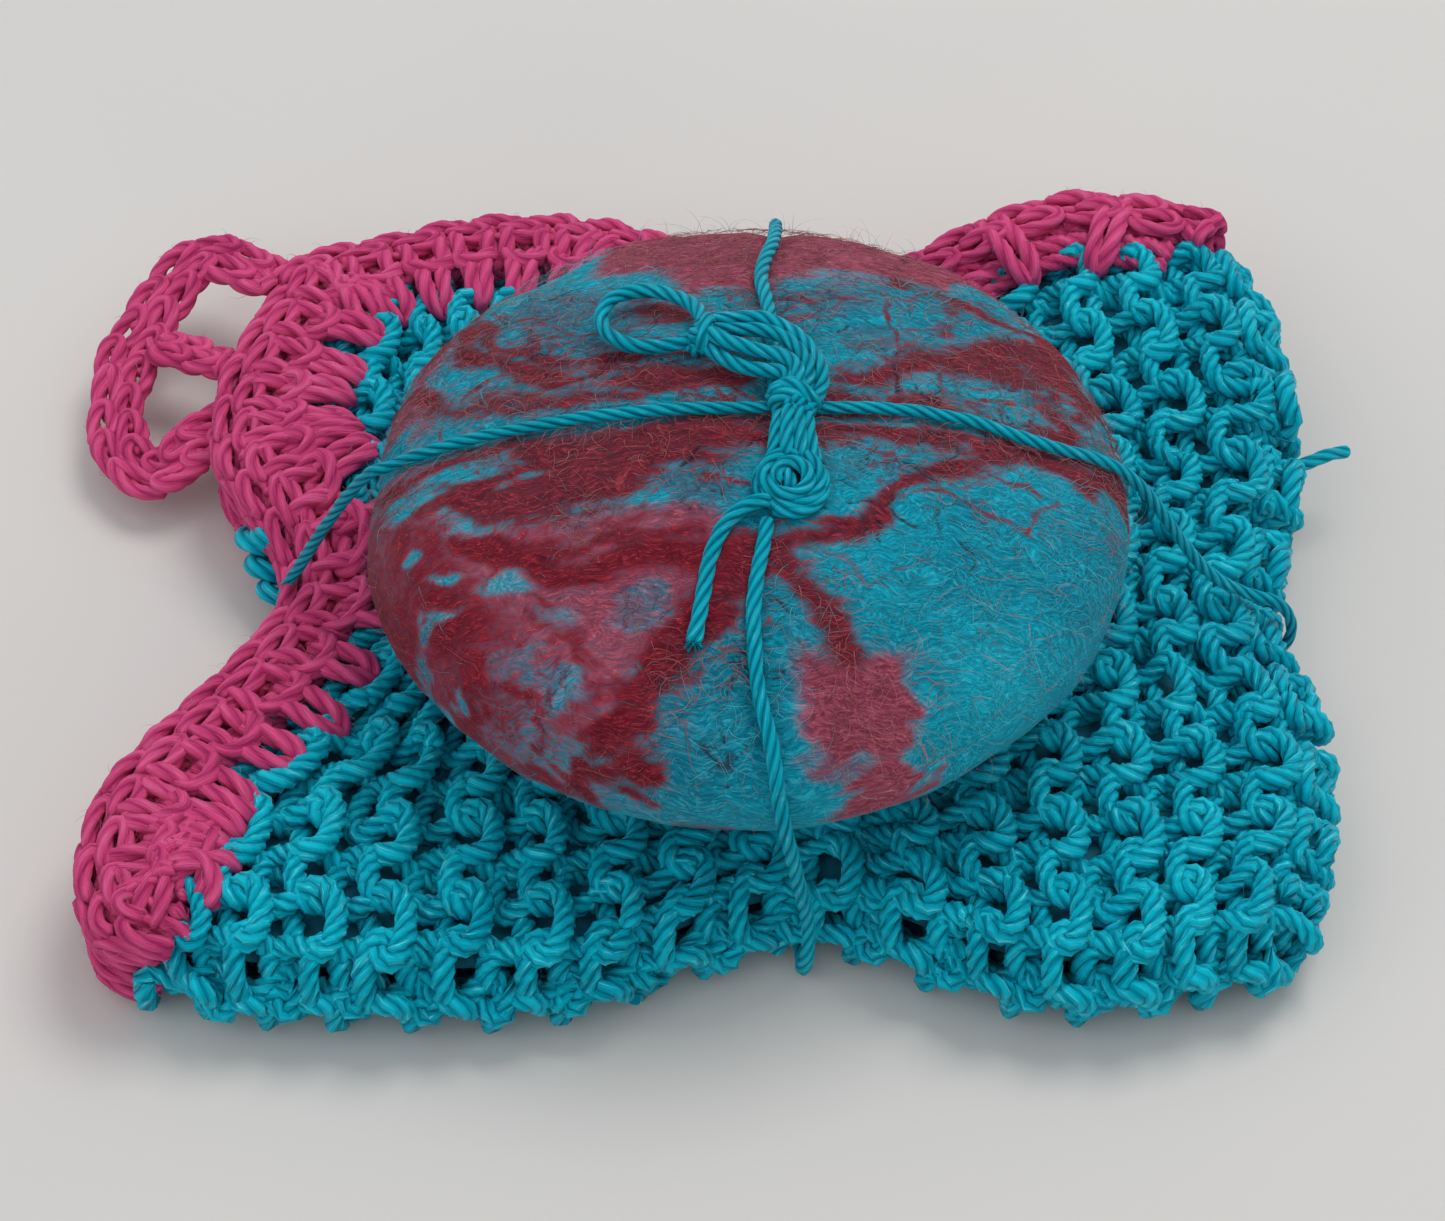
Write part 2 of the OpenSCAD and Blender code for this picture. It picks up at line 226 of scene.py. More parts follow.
def spline(points, count):
    """Catmull-Rom curve through the points, sampled evenly by length."""
    p = np.asarray(points, float)
    p = np.concatenate([2 * p[:1] - p[1:2], p, 2 * p[-1:] - p[-2:-1]])
    pieces = []
    t = np.linspace(0, 1, 12, endpoint=False)[:, None]
    for a, b, c, d in zip(p, p[1:], p[2:], p[3:]):
        pieces.append(0.5 * (2 * b + (c - a) * t + (2 * a - 5 * b + 4 * c - d) * t ** 2
                             + (3 * b - a - 3 * c + d) * t ** 3))
    curve = np.concatenate(pieces + [p[-2][None]])
    lengths = travelled(curve)
    return at_length(np.linspace(0, lengths[-1], count), lengths, curve)


# ---------------------------------------------------------------- mesh building
def new_mesh(name, points, quads, tris, smooth_tris):
    """Mesh from points in mm; also returns the vertex of each loop."""
    mesh = bpy.data.meshes.new(name)
    mesh.vertices.add(len(points))
    mesh.vertices.foreach_set("co", (points * MM).astype(np.float32).ravel())
    loops = np.concatenate([quads.ravel(), tris.ravel()]).astype(np.int32)
    mesh.loops.add(len(loops))
    mesh.loops.foreach_set("vertex_index", loops)
    starts = np.concatenate([np.arange(len(quads)) * 4, len(quads) * 4 + np.arange(len(tris)) * 3])
    mesh.polygons.add(len(starts))
    mesh.polygons.foreach_set("loop_start", starts.astype(np.int32))
    mesh.update(calc_edges=True)
    smooth = np.ones(len(starts), bool)
    smooth[len(quads):] = smooth_tris
    mesh.polygons.foreach_set("use_smooth", smooth)
    return mesh, loops


def add_uv(mesh, name, coords):
    mesh.uv_layers.new(name=name).data.foreach_set("uv", coords.astype(np.float32).ravel())


def add_attribute(mesh, name, values):
    attribute = mesh.attributes.new(name, "FLOAT", "POINT")
    attribute.data.foreach_set("value", values.astype(np.float32))


def add_object(name, mesh, material):
    mesh.materials.append(material)
    obj = bpy.data.objects.new(name, mesh)
    bpy.context.scene.collection.objects.link(obj)
    return obj


class Soup:
    """Collects closed tubes and hairs, then makes one mesh."""

    def __init__(self):
        self.points, self.quads, self.quad_uvs, self.shades = [], [], [], []
        self.tris, self.tri_uvs = [np.zeros((0, 3), int)], [np.zeros((0, 2))]
        self.count = 0
        self.roots = []   # where fuzz can grow: points, normals, tangents, length each stands for

    def add(self, points, quads, quad_uvs, shades, tris=None, tri_uvs=None):
        """One piece; its faces count from its own first point."""
        self.points.append(points)
        self.quads.append(quads + self.count)
        self.quad_uvs.append(quad_uvs)
        self.shades.append(shades)
        if tris is not None:
            self.tris.append(tris + self.count)
            self.tri_uvs.append(tri_uvs)
        self.count += len(points)

    def add_rings(self, points, along, around):
        """Skin over closed rings (rows x sides x 3), with a fan on each end."""
        rows, sides = points.shape[:2]
        row = np.arange(rows - 1)[:, None] * sides
        side = np.arange(sides)
        after = (side + 1) % sides
        quads = np.stack([row + side, row + after, row + sides + after, row + sides + side], -1)
        corners = ((along[:-1], around[:-1]), (along[:-1], around[1:]),
                   (along[1:], around[1:]), (along[1:], around[:-1]))
        quad_uvs = np.stack([np.stack(np.broadcast_arrays(u[:, None], v[None]), -1)
                             for u, v in corners], 2)
        centre = rows * sides
        last = centre - sides
        tris = np.concatenate([np.stack([np.full(sides, centre), after, side], -1),
                               np.stack([np.full(sides, centre + 1), last + side, last + after], -1)])
        tri_uvs = np.stack([np.repeat(along[[0, -1]], 3 * sides), np.full(6 * sides, 0.5)], -1)
        vertices = np.concatenate([points.reshape(-1, 3), [points[0].mean(0), points[-1].mean(0)]])
        self.add(vertices, quads.reshape(-1, 4), quad_uvs.reshape(-1, 2),
                 np.full(len(vertices), rng.random()), tris, tri_uvs)

    def tube(self, path, radius, sides, lobes, depth, pitch, turn=0.0, start=0.0, ends=0.35):
        """Yarn along a path, lobed and twisted so that its plies show.

        start is the length already run; ends is the length over which each end tapers.
        """
        path = np.asarray(path, float)
        rows = len(path)
        radius = np.broadcast_to(np.asarray(radius, float), (rows,))
        tangent = np.gradient(path, axis=0)
        tangent /= np.linalg.norm(tangent, axis=1)[:, None] + 1e-12
        first = np.cross(tangent[0], [0, 0, 1.0])
        if np.linalg.norm(first) < 1e-3:
            first = np.cross(tangent[0], [0, 1.0, 0])
        normal = np.empty_like(path)
        normal[0] = first / np.linalg.norm(first)
        for i in range(1, rows):   # carry the normal along without twist
            carried = normal[i - 1] - tangent[i] * (normal[i - 1] @ tangent[i])
            normal[i] = carried / (math.sqrt(carried @ carried) + 1e-12)
        binormal = np.cross(tangent, normal)
        along = start + travelled(path)
        if ends:
            near = np.minimum(np.minimum(along - along[0], along[-1] - along) / ends, 1)
            radius = radius * (0.55 + 0.45 * np.sqrt(np.clip(1 - (1 - near) ** 2, 0, 1)))
        # the section turns with the twist, so every groove keeps a column of vertices
        phi = np.arange(sides) * 2 * np.pi / sides
        across_lobe = ((phi * lobes / (2 * np.pi)) % 1.0) * 2 - 1
        section = 1 - depth * np.abs(across_lobe) ** 2.6
        twist = (along / pitch) * 2 * np.pi + turn
        angle = (phi[None, :] + twist[:, None])[..., None]
        reach = (radius[:, None] * section[None, :])[..., None]
        rings = path[:, None, :] + reach * (np.cos(angle) * normal[:, None, :]
                                            + np.sin(angle) * binormal[:, None, :])
        self.add_rings(rings, along, np.arange(sides + 1) / sides)
        share = np.gradient(along) / 4
        for a in (0.7, 2.4, 4.1, 5.6):
            outward = math.cos(a) * normal + math.sin(a) * binormal
            self.roots.append((path + outward * radius[:, None] * 0.93, outward, tangent, share))

    def hairs(self, paths, radii):
        """Thin three-sided hairs; paths is strands x steps x 3."""
        strands, steps = paths.shape[:2]
        tangent = np.gradient(paths, axis=1)
        tangent /= np.linalg.norm(tangent, axis=2)[..., None] + 1e-12
        normal = np.cross(tangent, np.broadcast_to(np.array([0.3, 0.2, 0.93]), tangent.shape))
        normal /= np.linalg.norm(normal, axis=2)[..., None] + 1e-9
        binormal = np.cross(tangent, normal)
        taper = np.clip(1.15 - np.linspace(0, 1, steps), 0.15, 1)
        reach = (radii[:, None] * taper[None])[..., None, None]
        angle = (np.arange(3) * 2 * np.pi / 3)[:, None]
        rings = paths[:, :, None, :] + reach * (np.cos(angle) * normal[:, :, None, :]
                                                + np.sin(angle) * binormal[:, :, None, :])
        first = np.arange(strands) * (steps * 3)
        row = first[:, None, None] + (np.arange(steps - 1) * 3)[None, :, None]
        side = np.arange(3)
        after = (side + 1) % 3
        quads = np.stack([row + side, row + after, row + 3 + after, row + 3 + side], -1)
        quads = quads.reshape(-1, 4)
        last = first + (steps - 1) * 3
        tris = np.concatenate([np.stack([first + 2, first + 1, first], -1),
                               np.stack([last, last + 1, last + 2], -1)])
        corner_uvs = np.array([[0, 0], [0, 1], [1, 1], [1, 0]], float) * 0.2
        self.add(rings.reshape(-1, 3), quads, np.tile(corner_uvs, (len(quads), 1)),
                 np.repeat(rng.random(strands), steps * 3), tris, np.full((len(tris) * 3, 2), 0.1))

    def mesh(self, name, material, uv_length=None):
        """uv_length is the run of yarn that fills the bake layout."""
        mesh, _ = new_mesh(name, np.concatenate(self.points), np.concatenate(self.quads),
                           np.concatenate(self.tris), False)
        uvs = np.concatenate(self.quad_uvs + self.tri_uvs)
        add_uv(mesh, "Yarn", uvs)
        bake = uvs.copy()
        if uv_length:
            bake[:, 0] = np.clip(bake[:, 0] / uv_length, 0, 1)
        add_uv(mesh, "OFBake", bake * 0.98 + 0.01)
        add_attribute(mesh, "rnd", np.concatenate(self.shades))
        return add_object(name, mesh, material)


# ---------------------------------------------------------------- materials
class Shader:
    """A material being wired; most methods add one node and return its output."""

    def __init__(self, name):
        self.material = bpy.data.materials.new(name)
        self.material.use_nodes = True
        self.tree = self.material.node_tree
        self.tree.nodes.clear()

    def add(self, kind, inputs, **settings):
        node = self.tree.nodes.new("ShaderNode" + kind)
        for key, value in settings.items():
            setattr(node, key, value)
        for key, value in inputs.items():
            if isinstance(value, bpy.types.NodeSocket):
                self.tree.links.new(value, node.inputs[key])
            else:
                node.inputs[key].default_value = value
        return node

    def math(self, operation, *values, clamp=False):
        inputs = dict(enumerate(values))
        return self.add("Math", inputs, operation=operation, use_clamp=clamp).outputs[0]

    def plus(self, a, b, clamp=False):
        return self.math("ADD", a, b, clamp=clamp)

    def times(self, a, b, clamp=False):
        return self.math("MULTIPLY", a, b, clamp=clamp)

    def times_plus(self, a, factor, offset):
        return self.math("MULTIPLY_ADD", a, factor, offset)

    def weighted(self, a, a_weight, b, b_weight):
        return self.plus(self.times(a, a_weight), self.times(b, b_weight))

    def greatest(self, a, b, c):
        return self.math("MAXIMUM", self.math("MAXIMUM", a, b), c)

    def mix(self, factor, a, b):
        return self.add("Mix", {0: factor, 6: a, 7: b}, data_type="RGBA").outputs[2]

    def noise(self, vector, scale, detail, roughness=0.5, distortion=0.0, output="Fac"):
        inputs = {"Scale": scale, "Detail": detail, "Roughness": roughness,
                  "Distortion": distortion, "Vector": vector}
        return self.add("TexNoise", inputs).outputs[output]

    def ramp(self, factor, stops):
        node = self.add("ValToRGB", {0: factor})
        elements = node.color_ramp.elements
        while len(elements) < len(stops):
            elements.new(0.5)
        for element, (position, colour) in zip(elements, stops):
            element.position = position
            element.color = colour
        return node.outputs[0]

    def remap(self, value, low, high, smooth=False, flip=False):
        """low..high to 0..1, or to 1..0 when flipped"""
        inputs = {0: value, 1: low, 2: high, 3: float(flip), 4: float(not flip)}
        kind = "SMOOTHSTEP" if smooth else "LINEAR"
        return self.add("MapRange", inputs, interpolation_type=kind).outputs[0]

    def attribute(self, name):
        return self.add("Attribute", {}, attribute_name=name).outputs["Fac"]

    def place(self):
        return self.add("TexCoord", {}).outputs["Object"]

    def bump(self, height, strength, distance):
        inputs = {"Strength": strength, "Distance": distance, "Height": height}
        return self.add("Bump", inputs).outputs[0]

    def finish(self, **inputs):
        """Principled surface; underscores in the names stand for spaces."""
        inputs = {key.replace("_", " "): value for key, value in inputs.items()}
        surface = self.add("BsdfPrincipled", inputs)
        self.add("OutputMaterial", {0: surface.outputs[0]})
        return self.material


def srgb(*channels):
    return tuple(((c / 255 + 0.055) / 1.055) ** 2.4 if c / 255 > 0.04045 else c / 255 / 12.92
                 for c in channels) + (1.0,)


def yarn_material(name, colours, lobes, shine, rough, fuzz, groove, streak=1.0, lift=0.0):
    """Plied yarn; its stripes follow the lobes of the mesh. colours runs dark, mid, light.

    groove deepens the shade painted into the colour between plies, streak the relief of fibres, lift lightens all.
    """
    shader = Shader(name)
    dark, mid, light = colours
    uv = shader.add("UVMap", {}, uv_map="Yarn").outputs[0]
    run, around = shader.add("SeparateXYZ", {0: uv}).outputs[:2]
    in_ply = shader.math("FRACT", shader.times(around, float(lobes)))
    off_crest = shader.math("ABSOLUTE", shader.times_plus(in_ply, 2.0, -1.0))
    # 1 on the crest of a ply, 0 in the groove
    crest = shader.times_plus(shader.times(off_crest, off_crest), -1.0, 1.0)
    random = shader.attribute("rnd")

    def streaks(run_scale, around_scale, skew, seed_scale, scale, detail):
        """noise stretched along the plies, running a little askew"""
        across = shader.weighted(around, lobes * around_scale, run, skew)
        vector = shader.add("CombineXYZ", {0: shader.times(run, run_scale), 1: across,
                                           2: shader.times(random, seed_scale)}).outputs[0]
        return shader.noise(vector, scale, detail, roughness=0.6)

    fibre = streaks(run_scale=0.16, around_scale=7.0, skew=0.7, seed_scale=37.0,
                    scale=2.2, detail=3.0)
    glint = streaks(run_scale=0.22, around_scale=3.2, skew=0.35, seed_scale=91.0,
                    scale=2.0, detail=2.0)
    patches = shader.noise(shader.place(), scale=90.0, detail=2.0)
    tone = shader.weighted(fibre, 0.7, patches, 0.3)
    # painted shade: the colour darkens from the crest of each ply into its groove
    tone = shader.plus(tone, shader.times_plus(crest, 0.62 * groove, lift - 0.27))
    tone = shader.plus(tone, shader.times_plus(random, 0.1, -0.05))
    colour = shader.ramp(tone, [(0.20, dark), (0.50, mid), (0.80, light)])
    # painted highlight: bright glints along the ply crests, mixed into the base colour
    glint = shader.remap(glint, 0.56, 0.72, smooth=True)
    highlight = tuple(min(1.0, c * 1.15 + 0.20) for c in light[:3]) + (1.0,)
    colour = shader.mix(shader.times(glint, shader.times(crest, shine)), colour, highlight)
    relief = shader.weighted(fibre, 0.4 * streak, crest, 0.9)
    return shader.finish(
        Base_Color=colour, Roughness=rough, Specular_IOR_Level=shine * 0.8, Specular_Tint=light,
        Sheen_Weight=fuzz, Sheen_Roughness=0.45, Sheen_Tint=light,
        Normal=shader.bump(relief, strength=0.95, distance=0.00034))


def shade_material(name, dark, light, sheen):
    """Dull mottled dark colour for what lies behind the stitches: painted shade."""
    shader = Shader(name)
    mottle = shader.noise(shader.place(), scale=500, detail=4, roughness=0.6)
    return shader.finish(
        Base_Color=shader.ramp(mottle, [(0.3, dark), (0.7, light)]), Roughness=0.9,
        Sheen_Weight=sheen, Normal=shader.bump(mottle, strength=0.6, distance=0.0002))


def fibre_material(name, dark, light, rough=0.7):
    """Loose hairs, each with its own tone."""
    shader = Shader(name)
    colour = shader.ramp(shader.attribute("rnd"), [(0.0, dark), (1.0, light)])
    return shader.finish(Base_Color=colour, Roughness=rough, Sheen_Weight=0.2)


mat_knit = yarn_material(
    "knit_cotton", (srgb(0, 74, 94), srgb(0, 158, 184), srgb(24, 206, 228)),
    lobes=4, shine=0.6, rough=0.36, fuzz=0.03, groove=0.5, lift=0.145)
# painted shade: darker teal for the sheets seen through the loops
mat_shade = shade_material("knit_shade", srgb(0, 74, 92), srgb(2, 116, 138), sheen=0.0)
mat_tie = yarn_material(
    "tie_cotton", (srgb(0, 100, 120), srgb(2, 158, 182), srgb(28, 192, 214)),
    lobes=4, shine=0.4, rough=0.45, fuzz=0.06, groove=0.6)
mat_crochet = yarn_material(
    "crochet_cotton", (srgb(166, 42, 94), srgb(228, 80, 136), srgb(244, 124, 172)),
    lobes=3, shine=0.1, rough=0.95, fuzz=0.45, groove=0.5, streak=1.9)
# the pink match of knit_shade, worn by no object
shade_material("crochet_shade", srgb(120, 30, 66), srgb(150, 46, 90), sheen=0.2)


# ---------------------------------------------------------------- what each piece moves with
def corner_line(name):
    """Start and end of a corner's line, and its unit normal towards the corner."""
    start, end = np.array(CORNER_LINES[name], float)
    along = (end - start) / np.linalg.norm(end - start)
    return start, end, np.array([-along[1], along[0]])


def past_line(name, x, y):
    start, _, normal = corner_line(name)
    return (x - start[0]) * normal[0] + (y - start[1]) * normal[1]


def region_of(x, y):
    """Index in REGIONS of each point of the cloth."""
    region = np.zeros(np.shape(x), int)
    for i, name in enumerate(CORNER_LINES):
        region = np.where(past_line(name, x, y) > 0, i + 1, region)
    return region


def ride_bundle(obj):
    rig.ride(obj, "bundle")


def blending(still, moving, start, end):
    return lambda obj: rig.blend(obj, still, moving, start, end)


def on_region(region):
    """The centre rides on the bundle; corners bend up from it."""
    if region == 0:
        return ride_bundle
    name = REGIONS[region]
    start, end, normal = corner_line(name)
    middle = (start + end) / 2
    bend = [tuple(np.array([*(middle + normal * reach), CLOTH_TOP]) * MM) for reach in (0.5, 17.0)]
    return blending("bundle", "corner_" + name, *bend)


def settle(obj, place, slot, *replaced):
    place(obj)
    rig.slot(obj, slot)
    if replaced:
        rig.replaces(obj, *replaced)


def runs(keys):
    """Runs of equal keys: key, length, and a slice one step wider at each end."""
    for run in np.split(np.arange(len(keys)), np.flatnonzero(np.diff(keys)) + 1):
        yield int(keys[run[0]]), len(run), slice(max(run[0] - 1, 0), min(run[-1] + 2, len(keys)))


# ---------------------------------------------------------------- shape of the cloth
# rounding of the corners: corner x, y, pull towards the middle, spread
CORNER_PULLS = ((RIGHT, FRONT, 7, 13), (RIGHT, BACK, 6, 12), (LEFT, FRONT, 5, 12), (LEFT, BACK, 9, 15))
# dents (-) and swellings (+) of the pile: share, x, y, stretch in x and y, spread
SWELLS = (
    (-0.30, -53, 7, 1.0, 0.8, 9), (-0.28, 6, -44, 0.8, 1.0, 8),
    (-0.16, 66, 3, 1.2, 0.7, 8), (-0.16, 3.4, 60, 1.0, 1.0, 8),
    (0.10, -52, -34, 1.0, 1.0, 15), (0.10, 46, -34, 1.0, 1.0, 15),
    (0.06, 46, 40, 1.0, 1.0, 15), (0.10, -46, 42, 1.0, 1.0, 15),
)
# each ply, 4 on top: mid height, radius of its roll at the right and the front fold, and
# whether it rolls up (+1) or down (-1)
SHEETS = {
    4: (11.9, 5.0, 4.0, -1.0),
    3: (8.6, 2.4, 2.0, 1.0),
    2: (5.0, 2.4, 2.2, -1.0),
    1: (2.3, 5.0, 2.5, 1.0),
}


def warp(x, y):
    """Flat folded cloth to cloth pulled in by the tie, with rounded corners."""
    near_left = smoothstep(-22, -64, x)
    near_right = smoothstep(38, 66, x)
    near_front = smoothstep(-24, -48, y)
    near_back = smoothstep(36, 66, y)
    step = (y - 15) / 10
    left_step = 5.5 * (1 + step / np.sqrt(1 + step * step))
    left_pinch = 20 * bell(y - 7, np.where(y > 7, 9.0, 12.0)) + 8.5 * bell(y + 14, 9.5)
    dx = near_left * (left_pinch + left_step) - near_right * 4.5 * bell(y - 3, 9)
    dy = (near_front * 11.5 * bell(x - 6, 12)
          - near_back * (8 * bell(x - 3.4, 12) + 6.5 * bell(x - 22, 9)))
    for corner_x, corner_y, pull, spread in CORNER_PULLS:
        inward = bell(np.hypot(x - corner_x, y - corner_y), spread) * pull * 0.707
        dx = dx - np.sign(corner_x) * inward
        dy = dy - np.sign(corner_y) * inward
    return x + dx, y + dy


def height(x, y):
    """Height of the pile at warped x, y as a share of the plain thickness."""
    share = 1.0 - 0.13 * smoothstep(40, 24, np.hypot(x, y))   # pressed down by the pad
    for amount, mid_x, mid_y, stretch_x, stretch_y, spread in SWELLS:
        distance = np.hypot((x - mid_x) / stretch_x, (y - mid_y) / stretch_y)
        share = share + amount * bell(distance, spread)
    return share + 0.045 * wobble(np.stack([x, y, 0 * x], -1), 16, 1)


def bend_back_right(points):
    """The resting lift of the back right corner, eased in across its line."""
    _, _, normal = corner_line("back_right")
    past = past_line("back_right", points[..., 0], points[..., 1])
    angle = np.radians(BACK_RIGHT_LIFT) * smoothstep(-6, 14, past)
    rise = points[..., 2] - CLOTH_TOP
    shift = past * np.cos(angle) - rise * np.sin(angle) - past
    bent = points.copy()
    bent[..., 0] += shift * normal[0]
    bent[..., 1] += shift * normal[1]
    bent[..., 2] = CLOTH_TOP + past * np.sin(angle) + rise * np.cos(angle)
    return bent


def fold_turns(x, y, ply):
    """Angles rolled round the right and the front fold."""
    _, right_roll, front_roll, _ = SHEETS[ply]
    return (np.maximum(x - (RIGHT - right_roll), 0) / right_roll,
            np.maximum((FRONT + front_roll) - y, 0) / front_roll)


def sheet(x, y, across, ply):
    """Point of a ply: x, y on the flat cloth (rolling round past the folds), across the fabric."""
    mid, right_roll, front_roll, way = SHEETS[ply]
    turn_right, turn_front = fold_turns(x, y, ply)
    turned = np.hypot(turn_right, turn_front)
    rolled = turned > 1e-9
    roll = np.where(rolled, (turn_right * right_roll + turn_front * front_roll)
                    / (turn_right + turn_front + 1e-12), 1.0)
    angle = np.clip(turned, 0, math.pi)
    straight = turned - angle              # straight on after half a turn
    out_x = np.where(rolled, turn_right / (turned + 1e-12), 0.0)
    out_y = np.where(rolled, -turn_front / (turned + 1e-12), 0.0)
    outward = roll * np.sin(angle) - straight * roll
    # a ply that rolls up has its outer face underneath
    lean = -way * np.sin(angle) * across
    flat_x = np.minimum(x, RIGHT - right_roll) + out_x * (outward + lean)
    flat_y = np.maximum(y, FRONT + front_roll) + out_y * (outward + lean)
    z = mid + way * roll * (1 - np.cos(angle)) + np.cos(angle) * across
    warped_x, warped_y = warp(flat_x, flat_y)
    z = np.maximum(z * height(warped_x, warped_y), 1.36)
    return bend_back_right(np.stack([warped_x, warped_y, z], -1))


# ---------------------------------------------------------------- garter stitch
# heads and feet of the loops make the ridges, which run front to back
STITCH, ROW = 11.4, 4.2              # stitch along y, spacing of the rows along x
LOOP_HEIGHT, LOOP_LEAN = 4.25, 1.9
YARN_RADIUS = 1.40
KNIT_SIDES = 12 if QUICK else 16
LOOSE_SIDES = 12                     # sides of the yarn of the lower plies

# height of the yarn in the fabric over half a stitch: on top round the head of the loop,
# highest where it crosses the legs of the next row, then down to the other face
PASS_PHASE = np.linspace(-np.pi, np.pi, 721)
raw_pass = np.interp(np.abs(PASS_PHASE), [0, 0.5, 1.0, 1.35, 1.7, 2.05, 2.5, np.pi],
                     [1.2, 1.45, 1.95, 1.35, 0.15, -0.6, -1.1, -1.25])
blur = np.exp(-0.5 * (np.arange(-45, 46) / 15.0) ** 2)
PASS_HEIGHT = np.convolve(np.concatenate([raw_pass[-46:-1], raw_pass, raw_pass[1:46]]),
                          blur / blur.sum(), "valid")


def garter_row(row, y_start, y_end, samples, ply):
    """x, y, across for sheet() along the yarn of one row, with samples per stitch."""
    phase = np.linspace(2 * np.pi * y_start / STITCH, 2 * np.pi * y_end / STITCH,
                        int((y_end - y_start) / STITCH * samples))
    run = STITCH * phase / (2 * np.pi)
    row_x = ROW * row

    def noise_points(x, z):
        return np.stack([np.full_like(phase, x), run, np.full_like(phase, z)], -1)

    loop_noise = noise_points(row_x + 91.0 * ply, 5.0 * ply)
    place_noise = noise_points(row_x * 1.7 + 13.0 * ply, 9.0 * ply)
    reach = LOOP_HEIGHT * (1 + 0.12 * wobble(loop_noise, 5, 2))
    x = row_x + reach * np.cos(phase) + 0.6 * wobble(place_noise, 7, 3)
    y = run + LOOP_LEAN * np.sin(2 * phase) + 0.75 * wobble(place_noise, 6, 4)
    side = 1.0 if row % 2 == 0 else -1.0
    level = np.interp((phase + np.pi) % (2 * np.pi) - np.pi, PASS_PHASE, PASS_HEIGHT)
    across = (side * level * (1 + 0.14 * wobble(loop_noise, 6, 5))
              + 0.25 * wobble(place_noise, 8, 6))
    # whole rows drift, so that the ridges wander a little
    x = x + 1.1 * wobble(noise_points(row_x, 3.0), 22, 6)
    if ply == 4:   # pressed down under the edging
        across = across - 1.1 * np.maximum(smoothstep(LEFT + 19, LEFT + 12, x),
                                           smoothstep(BACK - 19, BACK - 12, y))
    return x, y, across


def wanted(ply, points, x, y):
    """Where a ply needs yarn: outside the pad, or only near the sides for the inner plies."""
    if ply in (4, 1):
        return np.hypot(points[:, 0], points[:, 1]) > (17 if ply == 4 else 38)
    right_margin = {2: 8, 3: 9}[ply]
    return ((x > RIGHT - right_margin) & (y > FRONT + 5)
            | (x < LEFT + EDGE_WIDTH + 4) & (y > FRONT + 8)
            | (y > BACK - EDGE_WIDTH - 4))


def build_ply(ply, samples, sides):
    """Yarn of one ply, a soup for each region."""
    soups = [Soup() for _ in REGIONS]
    _, right_roll, front_roll, _ = SHEETS[ply]
    x_start, y_end = LEFT + EDGE_WIDTH - 1.0, BACK - EDGE_WIDTH + 1.0
    y_start = FRONT + front_roll - front_roll * math.pi * 0.96
    roll_angle = math.pi / 2 + 0.25 if ply in (4, 1) else math.pi * 0.9
    x_end = RIGHT - right_roll + right_roll * roll_angle
    for row in range(int(math.floor((x_start + 3) / ROW)), int(x_end / ROW) + 1):
        if ROW * row > x_end - 1.5:
            continue
        x, y, across = garter_row(row, y_start, y_end, samples, ply)
        x = np.maximum(x, x_start - 2)
        points = sheet(x, y, across, ply)
        on_roll = np.hypot(*fold_turns(x, y, ply)) < math.pi * 0.98
        keep = wanted(ply, points, x, y) & on_roll
        lengths = travelled(points)
        for region, count, span in runs(np.where(keep, region_of(points[:, 0], points[:, 1]), -1)):
            if region < 0 or count < 4:
                continue
            part = points[span]
            pressed = np.clip(0.8 + 0.2 * height(part[:, 0], part[:, 1]), 0.6, 1.1)
            radius = YARN_RADIUS * (1 + 0.07 * wobble(part, 4, 7)) * pressed
            soups[region].tube(part, radius, sides, lobes=4, depth=0.15, pitch=7.6,
                               turn=row * 1.3, start=lengths[span.start], ends=0.5)
    return soups


top_knit = []
# ply, samples per stitch, sides of the yarn
for ply, samples, sides in ((4, 30, KNIT_SIDES), (1, 22, LOOSE_SIDES), (2, 20, LOOSE_SIDES),
                            (3, 20, LOOSE_SIDES)):
    soups = build_ply(ply, samples, sides)
    if ply == 4:
        top_knit = soups
    for region, soup in enumerate(soups):
        if soup.count == 0:
            continue
        obj = soup.mesh("knit_ply_%d_%s" % (ply, REGIONS[region]), mat_knit, uv_length=150.0)
        replaced = []
        if region == 0:
            replaced = ["knit_ply_%d" % ply]
        elif ply == 4:
            replaced = ["knit_corner_" + REGIONS[region]]
        settle(obj, on_region(region), "knit_cotton", *replaced)
